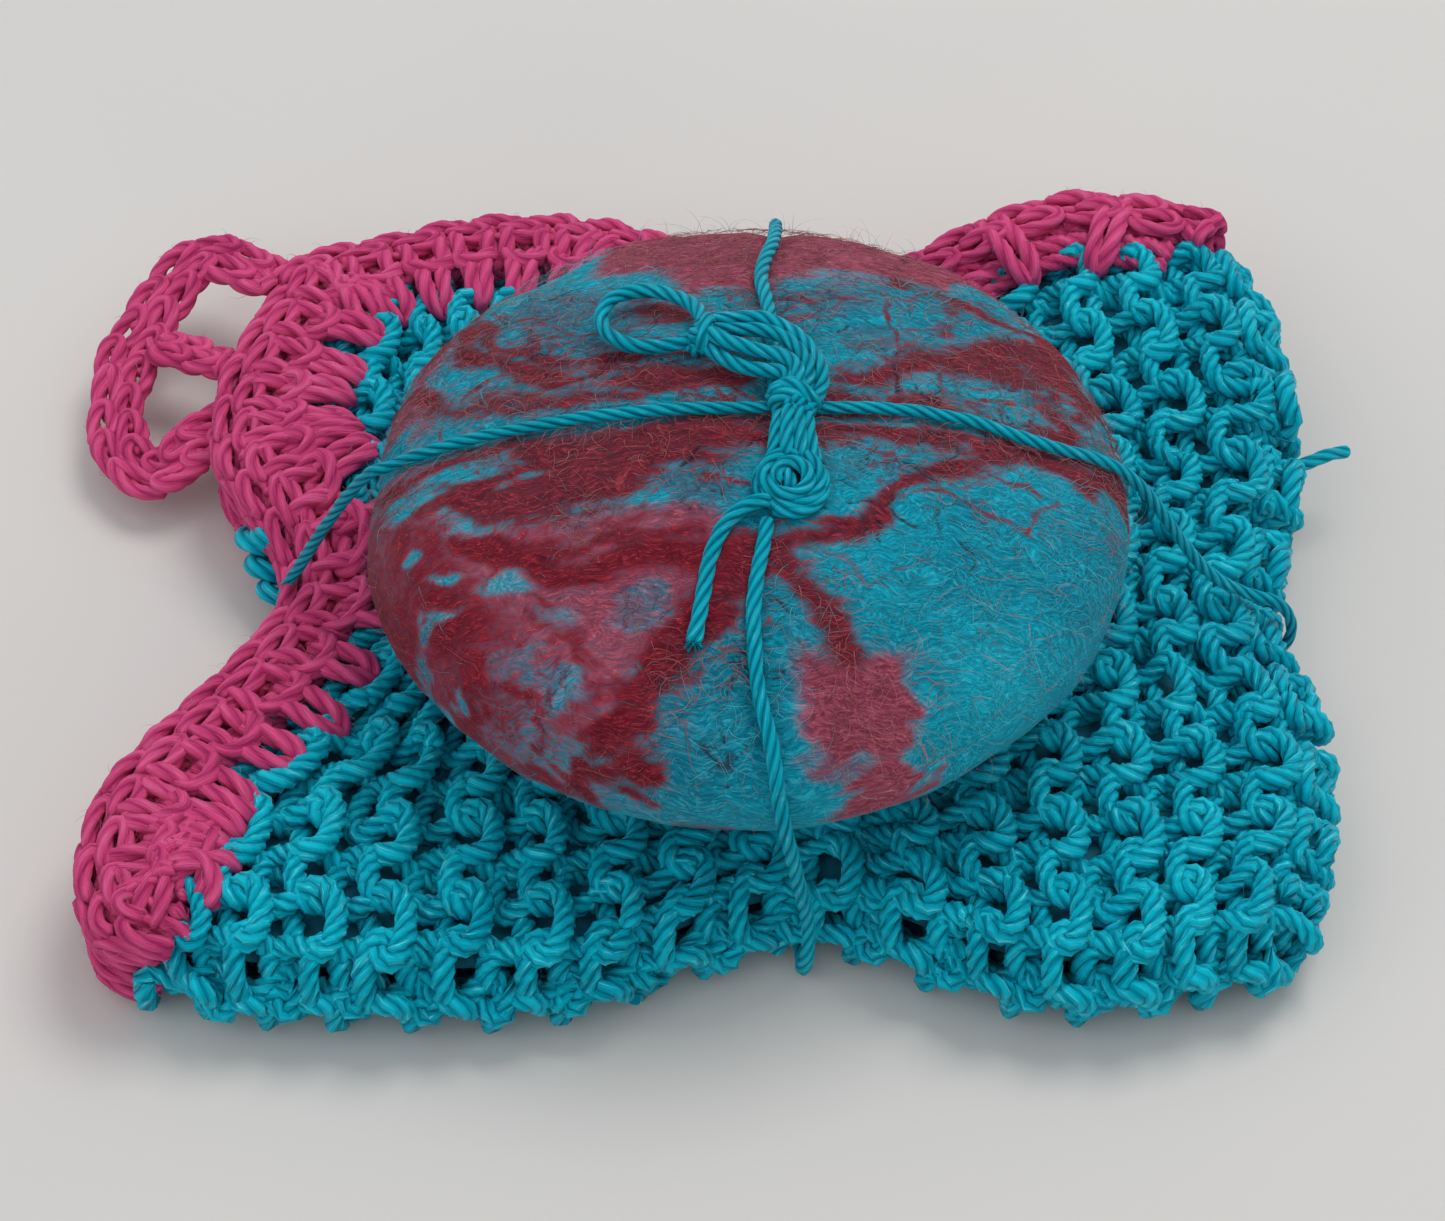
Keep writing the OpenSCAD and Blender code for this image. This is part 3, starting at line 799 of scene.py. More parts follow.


# ---------------------------------------------------------------- sheets behind the loops, dark as painted shade
def backing(name, ply, level, region):
    """Thin closed sheet inside a ply, which closes the view through its loops; its dark colour is painted shade."""
    thick, step = 0.6, 1.6
    x_low, x_high, y_low, y_high = LEFT + 11, RIGHT - 0.2, FRONT, BACK - 11
    x_count, y_count = int((x_high - x_low) / step) + 2, int((y_high - y_low) / step) + 2
    x, y = np.meshgrid(np.linspace(x_low, x_high, x_count), np.linspace(y_low, y_high, y_count),
                       indexing="ij")
    upper, lower = (sheet(x, y, 0 * x + level + half, ply) for half in (thick / 2, -thick / 2))
    middle = (upper[:-1, :-1] + upper[1:, 1:]) / 2
    mask = region_of(middle[..., 0], middle[..., 1]) == region
    index = np.arange(x_count * y_count).reshape(x_count, y_count)
    a, b, c, d = (part[mask] for part in
                  (index[:-1, :-1], index[1:, :-1], index[1:, 1:], index[:-1, 1:]))
    below = x_count * y_count
    quads = [np.stack([a, b, c, d], -1),
             np.stack([d + below, c + below, b + below, a + below], -1)]
    # walls where the neighbouring cell is empty: step to it, then the two ends of the wall
    framed = np.pad(mask, 1)
    i, j = np.nonzero(mask)
    for di, dj, start, end in ((0, -1, (0, 0), (1, 0)), (1, 0, (1, 0), (1, 1)),
                               (0, 1, (1, 1), (0, 1)), (-1, 0, (0, 1), (0, 0))):
        free = ~framed[i + 1 + di, j + 1 + dj]
        first = index[i[free] + start[0], j[free] + start[1]]
        last = index[i[free] + end[0], j[free] + end[1]]
        quads.append(np.stack([first + below, last + below, last, first], -1))
    points = np.concatenate([upper.reshape(-1, 3), lower.reshape(-1, 3)])
    used, corners = np.unique(np.concatenate(quads).ravel(), return_inverse=True)
    points = points[used]
    soup = Soup()
    soup.add(points, corners.reshape(-1, 4), (points[:, :2] / 160 + 0.5)[corners],
             np.full(len(points), 0.5))
    settle(soup.mesh(name, mat_shade), on_region(region), "knit_cotton")


for i, name in enumerate(REGIONS):
    backing("knit_inner_" + name, 4, -2.5, i)
    backing("knit_inner_low_" + name, 1, 1.0, i)


# ---------------------------------------------------------------- the felt pad
def pad_top(radius):
    """Height of the pad's upper surface above the table."""
    r = np.minimum(np.asarray(radius, float), PAD_RADIUS - 1e-6)
    dome = np.sqrt(np.maximum(DOME_RADIUS ** 2 - r * r, 0)) - DOME_DROP
    rim = np.sqrt(np.maximum(RIM_RADIUS ** 2 - (r - RIM_CENTRE) ** 2, 0))
    return PAD_Z + np.where(r < DOME_END, dome, rim)


def pad_profile(top_count, bottom_count):
    """Rows of (radius, rise, normal outward, normal up) from the top apex to the bottom one."""
    dome_length = DOME_RADIUS * math.asin(DOME_END / DOME_RADIUS)
    rim_length = RIM_RADIUS * RIM_TANGENT
    rows = []
    for count, side in ((top_count, 1), (bottom_count, -1)):
        for run in np.linspace(0, dome_length + rim_length, count)[::side]:
            if run <= dome_length:
                a = run / DOME_RADIUS
                rows.append((DOME_RADIUS * math.sin(a),
                             side * (DOME_RADIUS * math.cos(a) - DOME_DROP),
                             math.sin(a), side * math.cos(a)))
            else:
                a = RIM_TANGENT - (run - dome_length) / RIM_RADIUS
                rows.append((RIM_CENTRE + RIM_RADIUS * math.cos(a),
                             side * RIM_RADIUS * math.sin(a), math.cos(a), side * math.sin(a)))
    return np.delete(np.array(rows), top_count, axis=0)   # the equator comes twice


def line_distance(x, y, points):
    distance = np.full(x.shape, 1e9)
    for (ax, ay), (bx, by) in zip(points[:-1], points[1:]):
        dx, dy = bx - ax, by - ay
        t = np.clip(((x - ax) * dx + (y - ay) * dy) / (dx * dx + dy * dy + 1e-9), 0, 1)
        distance = np.minimum(distance, np.hypot(x - ax - t * dx, y - ay - t * dy))
    return distance


def outline_distance(x, y, points):
    """Distance to a closed outline, negative inside."""
    closed = points + points[:1]
    inside = np.zeros(x.shape, bool)
    for (ax, ay), (bx, by) in zip(closed[:-1], closed[1:]):
        inside ^= ((ay > y) != (by > y)) & (x < (bx - ax) * (y - ay) / (by - ay + 1e-12) + ax)
    distance = line_distance(x, y, closed)
    return np.where(inside, -distance, distance)


# wisps of fleece seen from above: outline (x, y), strength
MAROON_AREAS = [
    ([(-43, -3), (-36, -0.5), (-21, -0.5), (0.7, 0), (4, -3.5), (-5, -7.6), (-9, -10.5),
      (-14, -13), (-21, -14.6), (-29, -12.6), (-39, -8)], 1.0),
    ([(9, 5), (13, 9), (19, 14), (27, 18), (34, 22.5), (40, 21), (42.5, 12), (43, 5), (36, 5),
      (38, 11), (33, 12.5), (28, 9.5), (21, 8.6), (15, 6)], 0.95),
    ([(-14, 23.5), (-8, 22.5), (-6.5, 17), (-9, 14.5), (-13.5, 16)], 0.8),
]
# line (x, y), half width, strength
MAROON_LINES = [
    ([(-37.7, 27), (-33, 17), (-27, 11.5), (-20, 8.4), (-13, 6.4), (-6, 4.6), (0, 6.6)], 1.9, 1.0),
    ([(-33.5, 28), (-30, 17.5), (-25, 13.5), (-18.5, 11.8), (-14, 10)], 1.3, 0.85),
    ([(-42, 16), (-37, 10), (-31, 7), (-24, 5)], 2.0, 0.8),
    ([(-34, 9), (-28, 4.6), (-20, 4.0), (-12, 3.2)], 1.3, 0.8),
    ([(8.2, 3.0), (20.7, 3.6), (31, 3.2), (42.3, 4.0)], 1.5, 0.85),
    ([(28, 12), (35, 10), (38, 4), (37, -2)], 2.4, 0.9),
    ([(7.3, -3.5), (14, -1.2), (25.7, -1.2), (36.5, -1.9), (43, -0.5)], 1.9, 1.0),
    ([(30, -2), (24, -5), (19, -8.4), (14.5, -12.6), (8, -17), (1, -19), (-9.3, -20),
      (-18.5, -20), (-25.6, -18.2), (-32, -14)], 1.75, 1.0),
    ([(2.5, -19), (7.4, -24), (10.7, -30.7)], 2.2, 0.95),
    ([(0.7, -21), (-4.3, -25.4), (-9.3, -31.5), (-13.5, -37.3), (-17.5, -42.5)], 2.5, 1.15),
    ([(-1, -19), (-2.5, -24), (-8.5, -29)], 1.6, 0.9),
    ([(-40, -10), (-38, -18), (-33, -27), (-25, -35), (-18, -41)], 1.6, 0.75),
    ([(-38, -16), (-28, -21), (-20, -27), (-14, -33)], 0.9, 0.6),
    ([(-33, -14.5), (-24, -17), (-15, -17.5), (-6, -17)], 0.9, 0.75),
    ([(-24, -20), (-19, -27), (-16.5, -35)], 0.9, 0.6),
    ([(4.5, -7), (6, -12), (3, -17)], 1.2, 0.6),
    ([(17.5, 27.5), (23, 26), (28, 22), (33, 21)], 0.8, 0.9),
    ([(22, 26), (25, 22), (22, 17)], 0.7, 0.6),
]
ROSE_AREAS = [
    ([(-17.7, 39.8), (-17.6, 30.5), (-10.2, 29), (-5.5, 23), (-1.8, 23.3), (0.7, 22),
      (5.7, 25.6), (12.3, 27.3), (17.3, 28.3), (24, 27), (28, 31), (30, 35), (20, 42), (4, 47),
      (-10, 46)], 1.0),
    ([(5.7, -29.8), (10.7, -31.0), (17.3, -30.5), (19.2, -34), (18.6, -39.4), (14, -42.6),
      (9, -43.4), (7.3, -39), (5.4, -33.2)], 1.0),
    ([(-41, -7.3), (-29.3, -12.6), (-21, -14.2), (-6, -13.4), (0, -20.2), (-4.3, -24.5),
      (-11, -32), (-16, -41), (-27.7, -35), (-36, -26), (-42, -15.7)], 0.72),
    ([(-43.5, 22), (-38, 22), (-36, 10), (-38, 3), (-44, 3)], 0.6),
    ([(33, 24), (30, 31), (36, 26), (41, 16), (42, 10), (38, 12)], 0.6),
]
# places where the teal base shows through: centre x, y, half axes, strength
TEAL_HOLES = [
    (-33, -4.2, 6.5, 1.5, 0.9), (-38.5, -6.5, 3, 1.4, 0.8), (-25, -6.5, 4, 0.7, 0.5),
    (-32.5, -19.6, 3.0, 1.1, 0.9), (-34, -25.4, 3.6, 2.0, 0.85), (-26, -20.8, 3.2, 1.3, 0.75),
    (-37.5, -15.2, 1.5, 0.8, 0.8), (-21, -33, 4.2, 2.2, 0.7), (-26, -30, 3.0, 2.0, 0.6),
    (-12, -26, 3.0, 2.0, 0.55), (26, 4.8, 5.0, 1.6, 0.75), (33.4, 9.2, 2.2, 1.5, 0.7),
    (-20, -24.5, 3, 1.5, 0.45), (-13, 13.6, 3.2, 1.6, 0.5), (-30, 12.2, 1.4, 1.8, 0.7),
    (-18, 7.2, 4, 1.0, 0.6), (-5, -10.5, 5.5, 2.6, 0.8), (2, -12.5, 2.4, 3.0, 0.9),
    (14.5, -6.2, 5.0, 1.9, 0.85), (40, 3.5, 2.5, 1.5, 0.6),
]
# centre x, y, half axes
GREY_BLOTS = [
    (-5, -10.5, 6, 3.4), (14.5, -6.5, 6, 3.0), (26, 5, 7, 2.6), (33, 9, 3, 2.2), (-13, 12, 6, 3),
    (-18, 6.6, 6, 2), (-34, -25, 5, 3), (-25, -31, 7, 4), (-14, -26, 5, 3), (10, 21, 9, 5),
    (-24, 22, 9, 8), (-40, 14, 4, 9), (14, 14, 5, 3), (38, 3, 4, 3),
]
# x range and y range of the fields where wrinkle lines start
WRINKLE_FIELDS = (((-9, 6), (-42, -24)), ((-8, 24), (-16, -2)), ((5, 42), (-6, 12)),
               ((-30, 22), (8, 27)))


def stray_wisps(x, y, bent_x, bent_y, ripple, draw):
    """Strength of thin wisps, mostly along the flow of the fleece."""
    wisps = np.zeros(x.shape)
    for i in range(150):
        if i < 105:
            mid_x, mid_y = draw.uniform(-41, 2), draw.uniform(-38, 24)
        else:
            mid_x, mid_y = draw.uniform(-5, 41), draw.uniform(-20, 26)
        if math.hypot(mid_x, mid_y) > 42 or (mid_x > 8 and mid_y < -12):
            continue
        heading = (draw.normal(0.15, 0.5) + (0.5 if mid_y > 2 and mid_x > 0 else 0)
                   + (-0.6 if mid_x < -5 and mid_y < -20 else 0))
        reach = draw.uniform(3, 10)
        points = []
        for t in np.linspace(-1, 1, 5):
            a = heading + 0.5 * t * draw.normal(0, 0.8)
            points.append((mid_x + reach * t * math.cos(a), mid_y + reach * t * math.sin(a)))
        near = (np.abs(x - mid_x) < reach + 2) & (np.abs(y - mid_y) < reach + 2)
        if near.any():
            distance = line_distance(bent_x[near], bent_y[near], points) + 0.12 * ripple[near]
            wisp = draw.uniform(0.35, 0.8) * smoothstep(0.55, 0.1, distance)
            wisps[near] = np.maximum(wisps[near], wisp)
    return wisps * (1 - bell(np.hypot(x + 12, y + 25), 5))


def shaded_wrinkle_lines(x, y, bent_x, bent_y, draw):
    """Strength of thin wrinkle lines; the pad is dented along them and painted with shade there."""
    wrinkle_lines = np.zeros(x.shape)
    for i in range(120):
        # a start is drawn in every field, and the fields take turns
        starts = [(draw.uniform(*x_range), draw.uniform(*y_range))
                  for x_range, y_range in WRINKLE_FIELDS]
        start_x, start_y = starts[i % 4]
        heading, reach = draw.uniform(-1.2, 1.4), draw.uniform(1.5, 5.0)
        points = [(start_x, start_y)]
        for _ in range(5):
            heading += draw.normal(0, 0.45)
            points.append((points[-1][0] + reach / 5 * math.cos(heading),
                           points[-1][1] + reach / 5 * math.sin(heading)))
        near = (np.abs(x - start_x) < reach + 1.5) & (np.abs(y - start_y) < reach + 1.5)
        if near.any():
            distance = line_distance(bent_x[near], bent_y[near], points)
            wrinkle_line = draw.uniform(0.35, 0.9) * smoothstep(0.34, 0.06, distance)
            wrinkle_lines[near] = np.maximum(wrinkle_lines[near], wrinkle_line)
    return wrinkle_lines


def felt_masks(x, y, z):
    """Maroon, rose, grey and wrinkle-line strength; z is measured from the pad's middle."""
    steep = 1 + 1.6 * smoothstep(37, 43.5, np.hypot(x, y)) * (np.abs(z) > 0)
    points = np.stack([x, y, z * 1.2], -1)
    # the outlines are bent a little, with streaky noise that runs left to right
    streaky = np.stack([x * 0.45, y * 1.5, z * 1.5], -1)
    streak, ripple = wobble(streaky, 2.6, 2), wobble(streaky, 1.1, 3)
    cloud = wobble(points, 4.5, 4)
    ragged = (0.9 * streak + 0.55 * ripple + 0.55 * cloud) * steep
    bent_x = x + (0.9 * cloud + 0.5 * streak) * steep
    bent_y = y + (0.9 * wobble(points, 5.2, 6) + 0.4 * wobble(points, 2.0, 7)) * steep
    maroon, rose, grey = (np.zeros(x.shape) for _ in range(3))
    for outline, strength in MAROON_AREAS:
        distance = outline_distance(bent_x, bent_y, outline) + 0.9 * ragged
        maroon = np.maximum(maroon, strength * smoothstep(2.6, -2.4, distance))
    for line, half_width, strength in MAROON_LINES:
        distance = line_distance(bent_x, bent_y, line) + 0.55 * ragged
        line_mask = smoothstep(half_width * 1.8, half_width * 0.1, distance)
        maroon = np.maximum(maroon, strength * line_mask)
    for outline, strength in ROSE_AREAS:
        distance = outline_distance(bent_x, bent_y, outline) + 0.8 * ragged
        rose = np.maximum(rose, strength * smoothstep(2.4, -2.2, distance))
    # the fleece wraps over the rim at the front left
    wash = (smoothstep(32, 40, np.hypot(x, y)) * bell(np.arctan2(y, x) + 2.66, 0.42)
            * smoothstep(-14, -4, z))
    maroon = np.maximum(maroon, wash * (0.72 + 0.16 * streak + 0.12 * cloud))
    rose = np.maximum(rose, 0.75 * wash)
    for mid_x, mid_y, half_x, half_y, strength in TEAL_HOLES:
        distance = np.hypot((bent_x - mid_x) / half_x, (bent_y - mid_y) / half_y)
        hole = strength * smoothstep(1.35, 0.55, distance + 0.18 * ragged)
        maroon, rose = maroon * (1 - hole), rose * (1 - hole)
    for mid_x, mid_y, half_x, half_y in GREY_BLOTS:
        distance = np.hypot((x - mid_x) / half_x, (y - mid_y) / half_y)
        grey = np.maximum(grey, smoothstep(1.5, 0.3, distance + 0.3 * cloud))
    draw = np.random.default_rng(31)
    maroon = np.maximum(maroon, stray_wisps(x, y, bent_x, bent_y, ripple, draw) * 0.85)
    wrinkle_lines = shaded_wrinkle_lines(x, y, x + 0.25 * ripple, y + 0.25 * streak, draw)
    return np.clip(maroon, 0, 1.2), np.clip(rose, 0, 1), grey, wrinkle_lines


# the four legs of the tie over the pad, seen from above
LEG_LEFT = [(2.4, 0.2), (-8, 0.2), (-21, 0.45), (-33.5, 0.8), (-41.5, 1.2)]
LEG_RIGHT = [(7.0, 0.5), (16.5, 1.3), (24.8, 1.6), (33, 0.6), (40, 1.1)]
LEG_FRONT = [(1.9, -15.5), (0.4, -25.4), (0.7, -34.6), (2.2, -40.8)]
LEG_BACK = [(3, 2.6), (2.3, 17.5), (1.5, 25.8), (3.0, 35), (3.5, 41.5)]


def felt_material():
    shader = Shader("felt")
    place = shader.place()
    remap, noise, times, weighted = shader.remap, shader.noise, shader.times, shader.weighted

    def bent_place(scale, detail, amount):
        """object coordinates pushed about by a slow noise"""
        push = noise(place, scale, detail, output="Color")
        inputs = {0: push, 1: (amount,) * 3, 2: place}
        return shader.add("VectorMath", inputs, operation="MULTIPLY_ADD").outputs[0]

    def fibres(stretch, angle, scale, bend):
        """fine noise stretched along one direction"""
        inputs = {"Rotation": (0, 0, angle), "Scale": (stretch, 1, 1),
                  "Vector": bent_place(140, 2, bend)}
        vector = shader.add("Mapping", inputs).outputs[0]
        return noise(vector, scale, detail=3, roughness=0.62)

    def mask(strength, raggedness, low, high, pattern):
        """painted strength with its border broken up by a pattern"""
        offset = shader.times_plus(pattern, raggedness, -0.5 * raggedness)
        edge = remap(shader.plus(strength, offset), low, high, smooth=True)
        return times(edge, times(strength, 5.0, clamp=True))

    # fibres and broader wisps, each laid in three directions
    fibre = shader.greatest(fibres(0.10, 0.15, 3200, 0.006), fibres(0.12, 1.1, 2600, 0.007),
                            fibres(0.12, -0.9, 2900, 0.007))
    wisp = shader.greatest(fibres(0.14, 0.3, 900, 0.012), fibres(0.16, 1.2, 760, 0.012),
                           fibres(0.16, -0.8, 820, 0.012))
    wisp = remap(wisp, 0.46, 0.74)
    hair = remap(fibre, 0.50, 0.76)
    medium = noise(place, scale=520, detail=4, roughness=0.6, distortion=0.6)
    fine = noise(place, scale=2400, detail=3, roughness=0.6, distortion=0.4)
    large = noise(place, scale=60, detail=3)
    soft = shader.plus(times(wisp, 0.24), weighted(hair, 0.56, remap(medium, 0.3, 0.7), 0.20))
    soft = remap(soft, 0.12, 0.62)

    teal = shader.ramp(weighted(hair, 0.5, large, 0.5), [
        (0.18, srgb(0, 110, 134)), (0.46, srgb(6, 156, 180)),
        (0.70, srgb(36, 190, 210)), (0.90, srgb(92, 214, 226))])
    maroon = shader.ramp(weighted(hair, 0.62, medium, 0.38), [
        (0.10, srgb(70, 4, 20)), (0.40, srgb(118, 18, 36)),
        (0.68, srgb(156, 46, 56)), (0.92, srgb(204, 108, 104))])
    rose = shader.ramp(weighted(hair, 0.62, large, 0.38), [
        (0.10, srgb(108, 26, 50)), (0.40, srgb(156, 58, 80)),
        (0.70, srgb(186, 92, 106)), (0.92, srgb(218, 146, 150))])
    grey = shader.ramp(weighted(fibre, 0.55, medium, 0.45), [
        (0.36, srgb(36, 60, 84)), (0.6, srgb(70, 108, 130)), (0.8, srgb(112, 146, 164))])

    in_maroon, in_rose, in_grey, in_wrinkle_line = map(shader.attribute, ("maroon", "rose", "grey", "wrinkle_line"))
    colour = shader.mix(times(mask(in_grey, 0.9, 0.3, 0.9, wisp), 0.7), teal, grey)
    # painted shade in creases along the borders of bent cells, strongest near grey and maroon
    inputs = {"Scale": 250, "Vector": bent_place(420, 3, 0.0045)}
    cells = shader.add("TexVoronoi", inputs, feature="DISTANCE_TO_EDGE").outputs["Distance"]
    crease_shade = remap(cells, 0.0, 0.06, smooth=True, flip=True)
    near = shader.plus(times(in_grey, 0.9), shader.times_plus(in_maroon, 1.2, 0.14), clamp=True)
    patches = remap(noise(place, scale=170, detail=3), 0.46, 0.60)
    crease_shade = times(times(crease_shade, patches), near)
    colour = shader.mix(times(crease_shade, 0.75), colour, srgb(52, 34, 62))
    colour = shader.mix(times(mask(in_rose, 0.34, -0.10, 0.80, soft), 0.95), colour, rose)
    colour = shader.mix(times(mask(in_maroon, 0.60, 0.02, 0.82, soft), 0.97), colour, maroon)
    # single dark red fibres strewn over everything
    stray = remap(fibres(0.06, 0.5, 2100, 0.01), 0.64, 0.70)
    share = shader.times_plus(mask(in_grey, 1.0, 0.1, 0.7, wisp), 0.45, 0.20)
    colour = shader.mix(times(stray, share), colour, srgb(96, 28, 50))
    # painted shade along the wrinkle lines, which the relief also dents
    wrinkle_line = times(mask(in_wrinkle_line, 0.5, 0.25, 0.8, fine), 0.75)
    colour = shader.mix(wrinkle_line, colour, srgb(46, 30, 52))
    relief = shader.plus(weighted(fibre, 1.0, medium, 0.5), times(fine, 0.2))
    relief = shader.math("SUBTRACT", relief, times(in_wrinkle_line, 0.8))
    return shader.finish(
        Base_Color=colour, Roughness=0.88, Specular_IOR_Level=0.12, Sheen_Weight=0.09,
        Sheen_Roughness=0.5, Sheen_Tint=srgb(170, 196, 208),
        Normal=shader.bump(relief, strength=0.85, distance=0.00028))


def build_pad(material):
    sides, top_rings, bottom_rings = 520, 126, 44
    profile = pad_profile(top_rings, bottom_rings)
    rings = len(profile)
    radius, rise, normal_out, normal_up = profile.T
    angle = np.arange(sides) * 2 * np.pi / sides
    x, y = radius[:, None] * np.cos(angle), radius[:, None] * np.sin(angle)
    z = np.repeat((PAD_Z + rise)[:, None], sides, 1)
    points = np.stack([x, y, z], -1)
    normals = np.stack([normal_out[:, None] * np.cos(angle), normal_out[:, None] * np.sin(angle),
                        np.repeat(normal_up[:, None], sides, 1)], -1)
    swell = 0.34 * wobble(points, 11, 0) + 0.16 * wobble(points, 4.2, 1)
    swell = swell + 0.06 * wobble(points, 1.7, 2)
    # slightly oval outline
    swell = swell + 0.35 * np.sin(np.arctan2(y, x) * 2 + 0.6) * smoothstep(10, 44, np.hypot(x, y))
    for leg in (LEG_LEFT, LEG_RIGHT, LEG_FRONT, LEG_BACK):   # the tie presses a groove
        groove = 0.55 * np.exp(-(line_distance(x, y, leg) / 1.7) ** 2)
        swell = swell - np.where(z > PAD_Z - 6, groove, 0)
    maroon, rose, grey, wrinkle_lines = felt_masks(x, y, z - PAD_Z)
    low = smoothstep(PAD_Z - 1, PAD_Z - 7, z)
    patches = smoothstep(0.25, 0.7, wobble(np.stack([x * 0.6, y * 1.4, z * 2], -1), 7, 3))
    maroon = maroon * (1 - low) + patches * low
    rose = rose * (1 - low)
    swell = (swell - 0.22 * wrinkle_lines * (1 - low) + 0.12 * np.clip(maroon, 0, 1)
             + 0.18 * rose * (1 - low))
    points = points + normals * np.minimum(swell, 0.75)[..., None]
    points[0] = points[0].mean(0)
    points[-1] = points[-1].mean(0)

    def per_vertex(grid):
        """one value for each apex, the full rings between"""
        return np.concatenate([grid[0, :1], grid[1:-1].reshape(-1, *grid.shape[2:]), grid[-1, :1]])

    vertices = per_vertex(points)
    index = 1 + np.arange((rings - 2) * sides).reshape(rings - 2, sides)
    after = np.roll(index, -1, axis=1)
    quads = np.stack([index[:-1], index[1:], after[1:], after[:-1]], -1).reshape(-1, 4)
    tris = np.concatenate([
        np.stack([np.zeros(sides, int), index[0], after[0]], -1),
        np.stack([np.full(sides, len(vertices) - 1), after[-1], index[-1]], -1)])
    mesh, loops = new_mesh("felt_pad", vertices, quads, tris, True)
    for name, values in (("maroon", maroon), ("rose", rose), ("grey", grey * (1 - low)),
                         ("wrinkle_line", wrinkle_lines * (1 - low))):
        add_attribute(mesh, name, per_vertex(values))
    # bake layout: top disc on the left, bottom disc on the right, by length along the profile
    lengths = travelled(profile[:, :2])
    half = lengths[top_rings - 1]
    share = np.where(np.arange(rings) < top_rings, lengths / half,
                     (lengths[-1] - lengths) / (lengths[-1] - half))[:, None]
    disc = np.stack([0.5 * share * np.cos(angle), 0.5 * share * np.sin(angle)], -1)
    disc = per_vertex(disc)[loops]
    ring = np.concatenate([[0], np.repeat(np.arange(1, rings - 1), sides), [rings - 1]])
    face_ring = np.concatenate([ring[quads].mean(1).repeat(4), ring[tris].mean(1).repeat(3)])
    on_top = (face_ring < top_rings - 0.75)[:, None]
    add_uv(mesh, "OFBake", np.where(on_top, disc * [0.64, 0.96] + [0.33, 0.5],
                                    disc * [0.31, 0.46] + [0.83, 0.5]))
    return add_object("felt_pad", mesh, material)


pad = build_pad(felt_material())
ride_bundle(pad)
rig.replaces(pad, "felt_base", "fleece_maroon", "fleece_rose", "core")
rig.slot(pad, "felt_teal")

mat_teal_hair = fibre_material("felt_fibres_teal", srgb(4, 100, 122), srgb(78, 190, 206))
mat_maroon_hair = fibre_material("felt_fibres_maroon", srgb(70, 12, 32), srgb(196, 104, 104))


def lying_hairs(draw):
    """Hairs that lie on the pad: paths, and which are red and which teal."""
    count, steps = 7600, 6
    radius = 43.6 * np.sqrt(draw.random(count))
    angle = draw.uniform(0, 2 * np.pi, count)
    root_x, root_y = radius * np.cos(angle), radius * np.sin(angle)
    heading = draw.normal(0.1, 0.9, count)
    length = draw.uniform(1.6, 6.0, count)
    bend = draw.normal(0, 1.9, count)
    heading = heading[:, None] + bend[:, None] * np.linspace(-0.5, 0.5, steps)[None]
    x = root_x[:, None] + np.cumsum(np.cos(heading) * length[:, None] / steps, 1)
    y = root_y[:, None] + np.cumsum(np.sin(heading) * length[:, None] / steps, 1)
    inside = np.minimum(1, 43.5 / np.hypot(x, y))
    x, y = x * inside, y * inside
    radius = np.hypot(x, y)
    arch = np.sin(np.pi * np.linspace(0, 1, steps))[None]
    lift = 0.22 + draw.uniform(0.0, 0.42, count)[:, None] * arch
    # lifted along the surface normal, so that hairs near the rim stay on it
    slope = np.where(radius < 38.9, radius / DOME_RADIUS, (radius - RIM_CENTRE) / RIM_RADIUS)
    slope = np.clip(slope, 0, 1)
    paths = np.stack([x + x / (radius + 1e-6) * slope * lift,
                      y + y / (radius + 1e-6) * slope * lift,
                      pad_top(radius) + np.sqrt(1 - slope ** 2) * lift], -1)
    maroon, rose, grey, _ = felt_masks(root_x, root_y, 0 * root_x)
    red = ((maroon > 0.25) | (rose > 0.25) | ((grey > 0.25) & (draw.random(count) < 0.6))
           | (draw.random(count) < 0.12))
    dropped = ~red & (draw.random(count) < 0.35)
    return paths, red, ~red & ~dropped


def standing_hairs(count, draw):
    """Fuzz round the outline of the pad and thinly over the top."""
    angle = draw.uniform(0, 2 * np.pi, count)[:, None]
    tilt = np.where(draw.random(count) < 0.6, draw.uniform(-0.25, 1.0, count),
                    draw.uniform(0.9, 1.5, count))
    on_dome = tilt > 0.95
    radius = np.where(on_dome, 43 * np.sqrt(draw.random(count)),
                      RIM_CENTRE + RIM_RADIUS * np.cos(tilt))
    root_z = np.where(on_dome, pad_top(radius), PAD_Z + RIM_RADIUS * np.sin(tilt))
    normal_out = np.where(on_dome, radius / DOME_RADIUS, np.cos(tilt))[:, None]
    normal_up = np.where(on_dome, 0.95, np.sin(tilt))[:, None]
    reach = draw.uniform(0.4, 2.4, count) * np.where(on_dome, 0.55, 1.0)
    lean = draw.normal(0, 0.9, count)
    t = np.linspace(0, 1, 7)
    out = reach[:, None] * np.sin(t * 1.7)[None]
    side = (reach * lean)[:, None] * (t ** 1.6)[None] * 1.4
    radius = radius[:, None]
    x = radius * np.cos(angle) + np.cos(angle) * normal_out * out - np.sin(angle) * side
    y = radius * np.sin(angle) + np.sin(angle) * normal_out * out + np.cos(angle) * side
    z = (root_z[:, None] + normal_up * out
         + draw.normal(0, 0.4, count)[:, None] * reach[:, None] * t[None])
    return np.stack([x, y, z], -1)


def build_pad_hairs():
    draw = np.random.default_rng(5)
    paths, red, teal = lying_hairs(draw)
    for name, chosen, material, standing, slot in (
            ("felt_fibres_teal", teal, mat_teal_hair, 520, "felt_teal"),
            ("felt_fibres_maroon", red, mat_maroon_hair, 760, "fleece_maroon")):
        soup = Soup()
        soup.hairs(paths[chosen], draw.uniform(0.024, 0.042, chosen.sum()))
        upright = standing_hairs(standing, draw)
        soup.hairs(upright, draw.uniform(0.016, 0.028, standing))
        settle(soup.mesh(name, material), ride_bundle, slot)


build_pad_hairs()


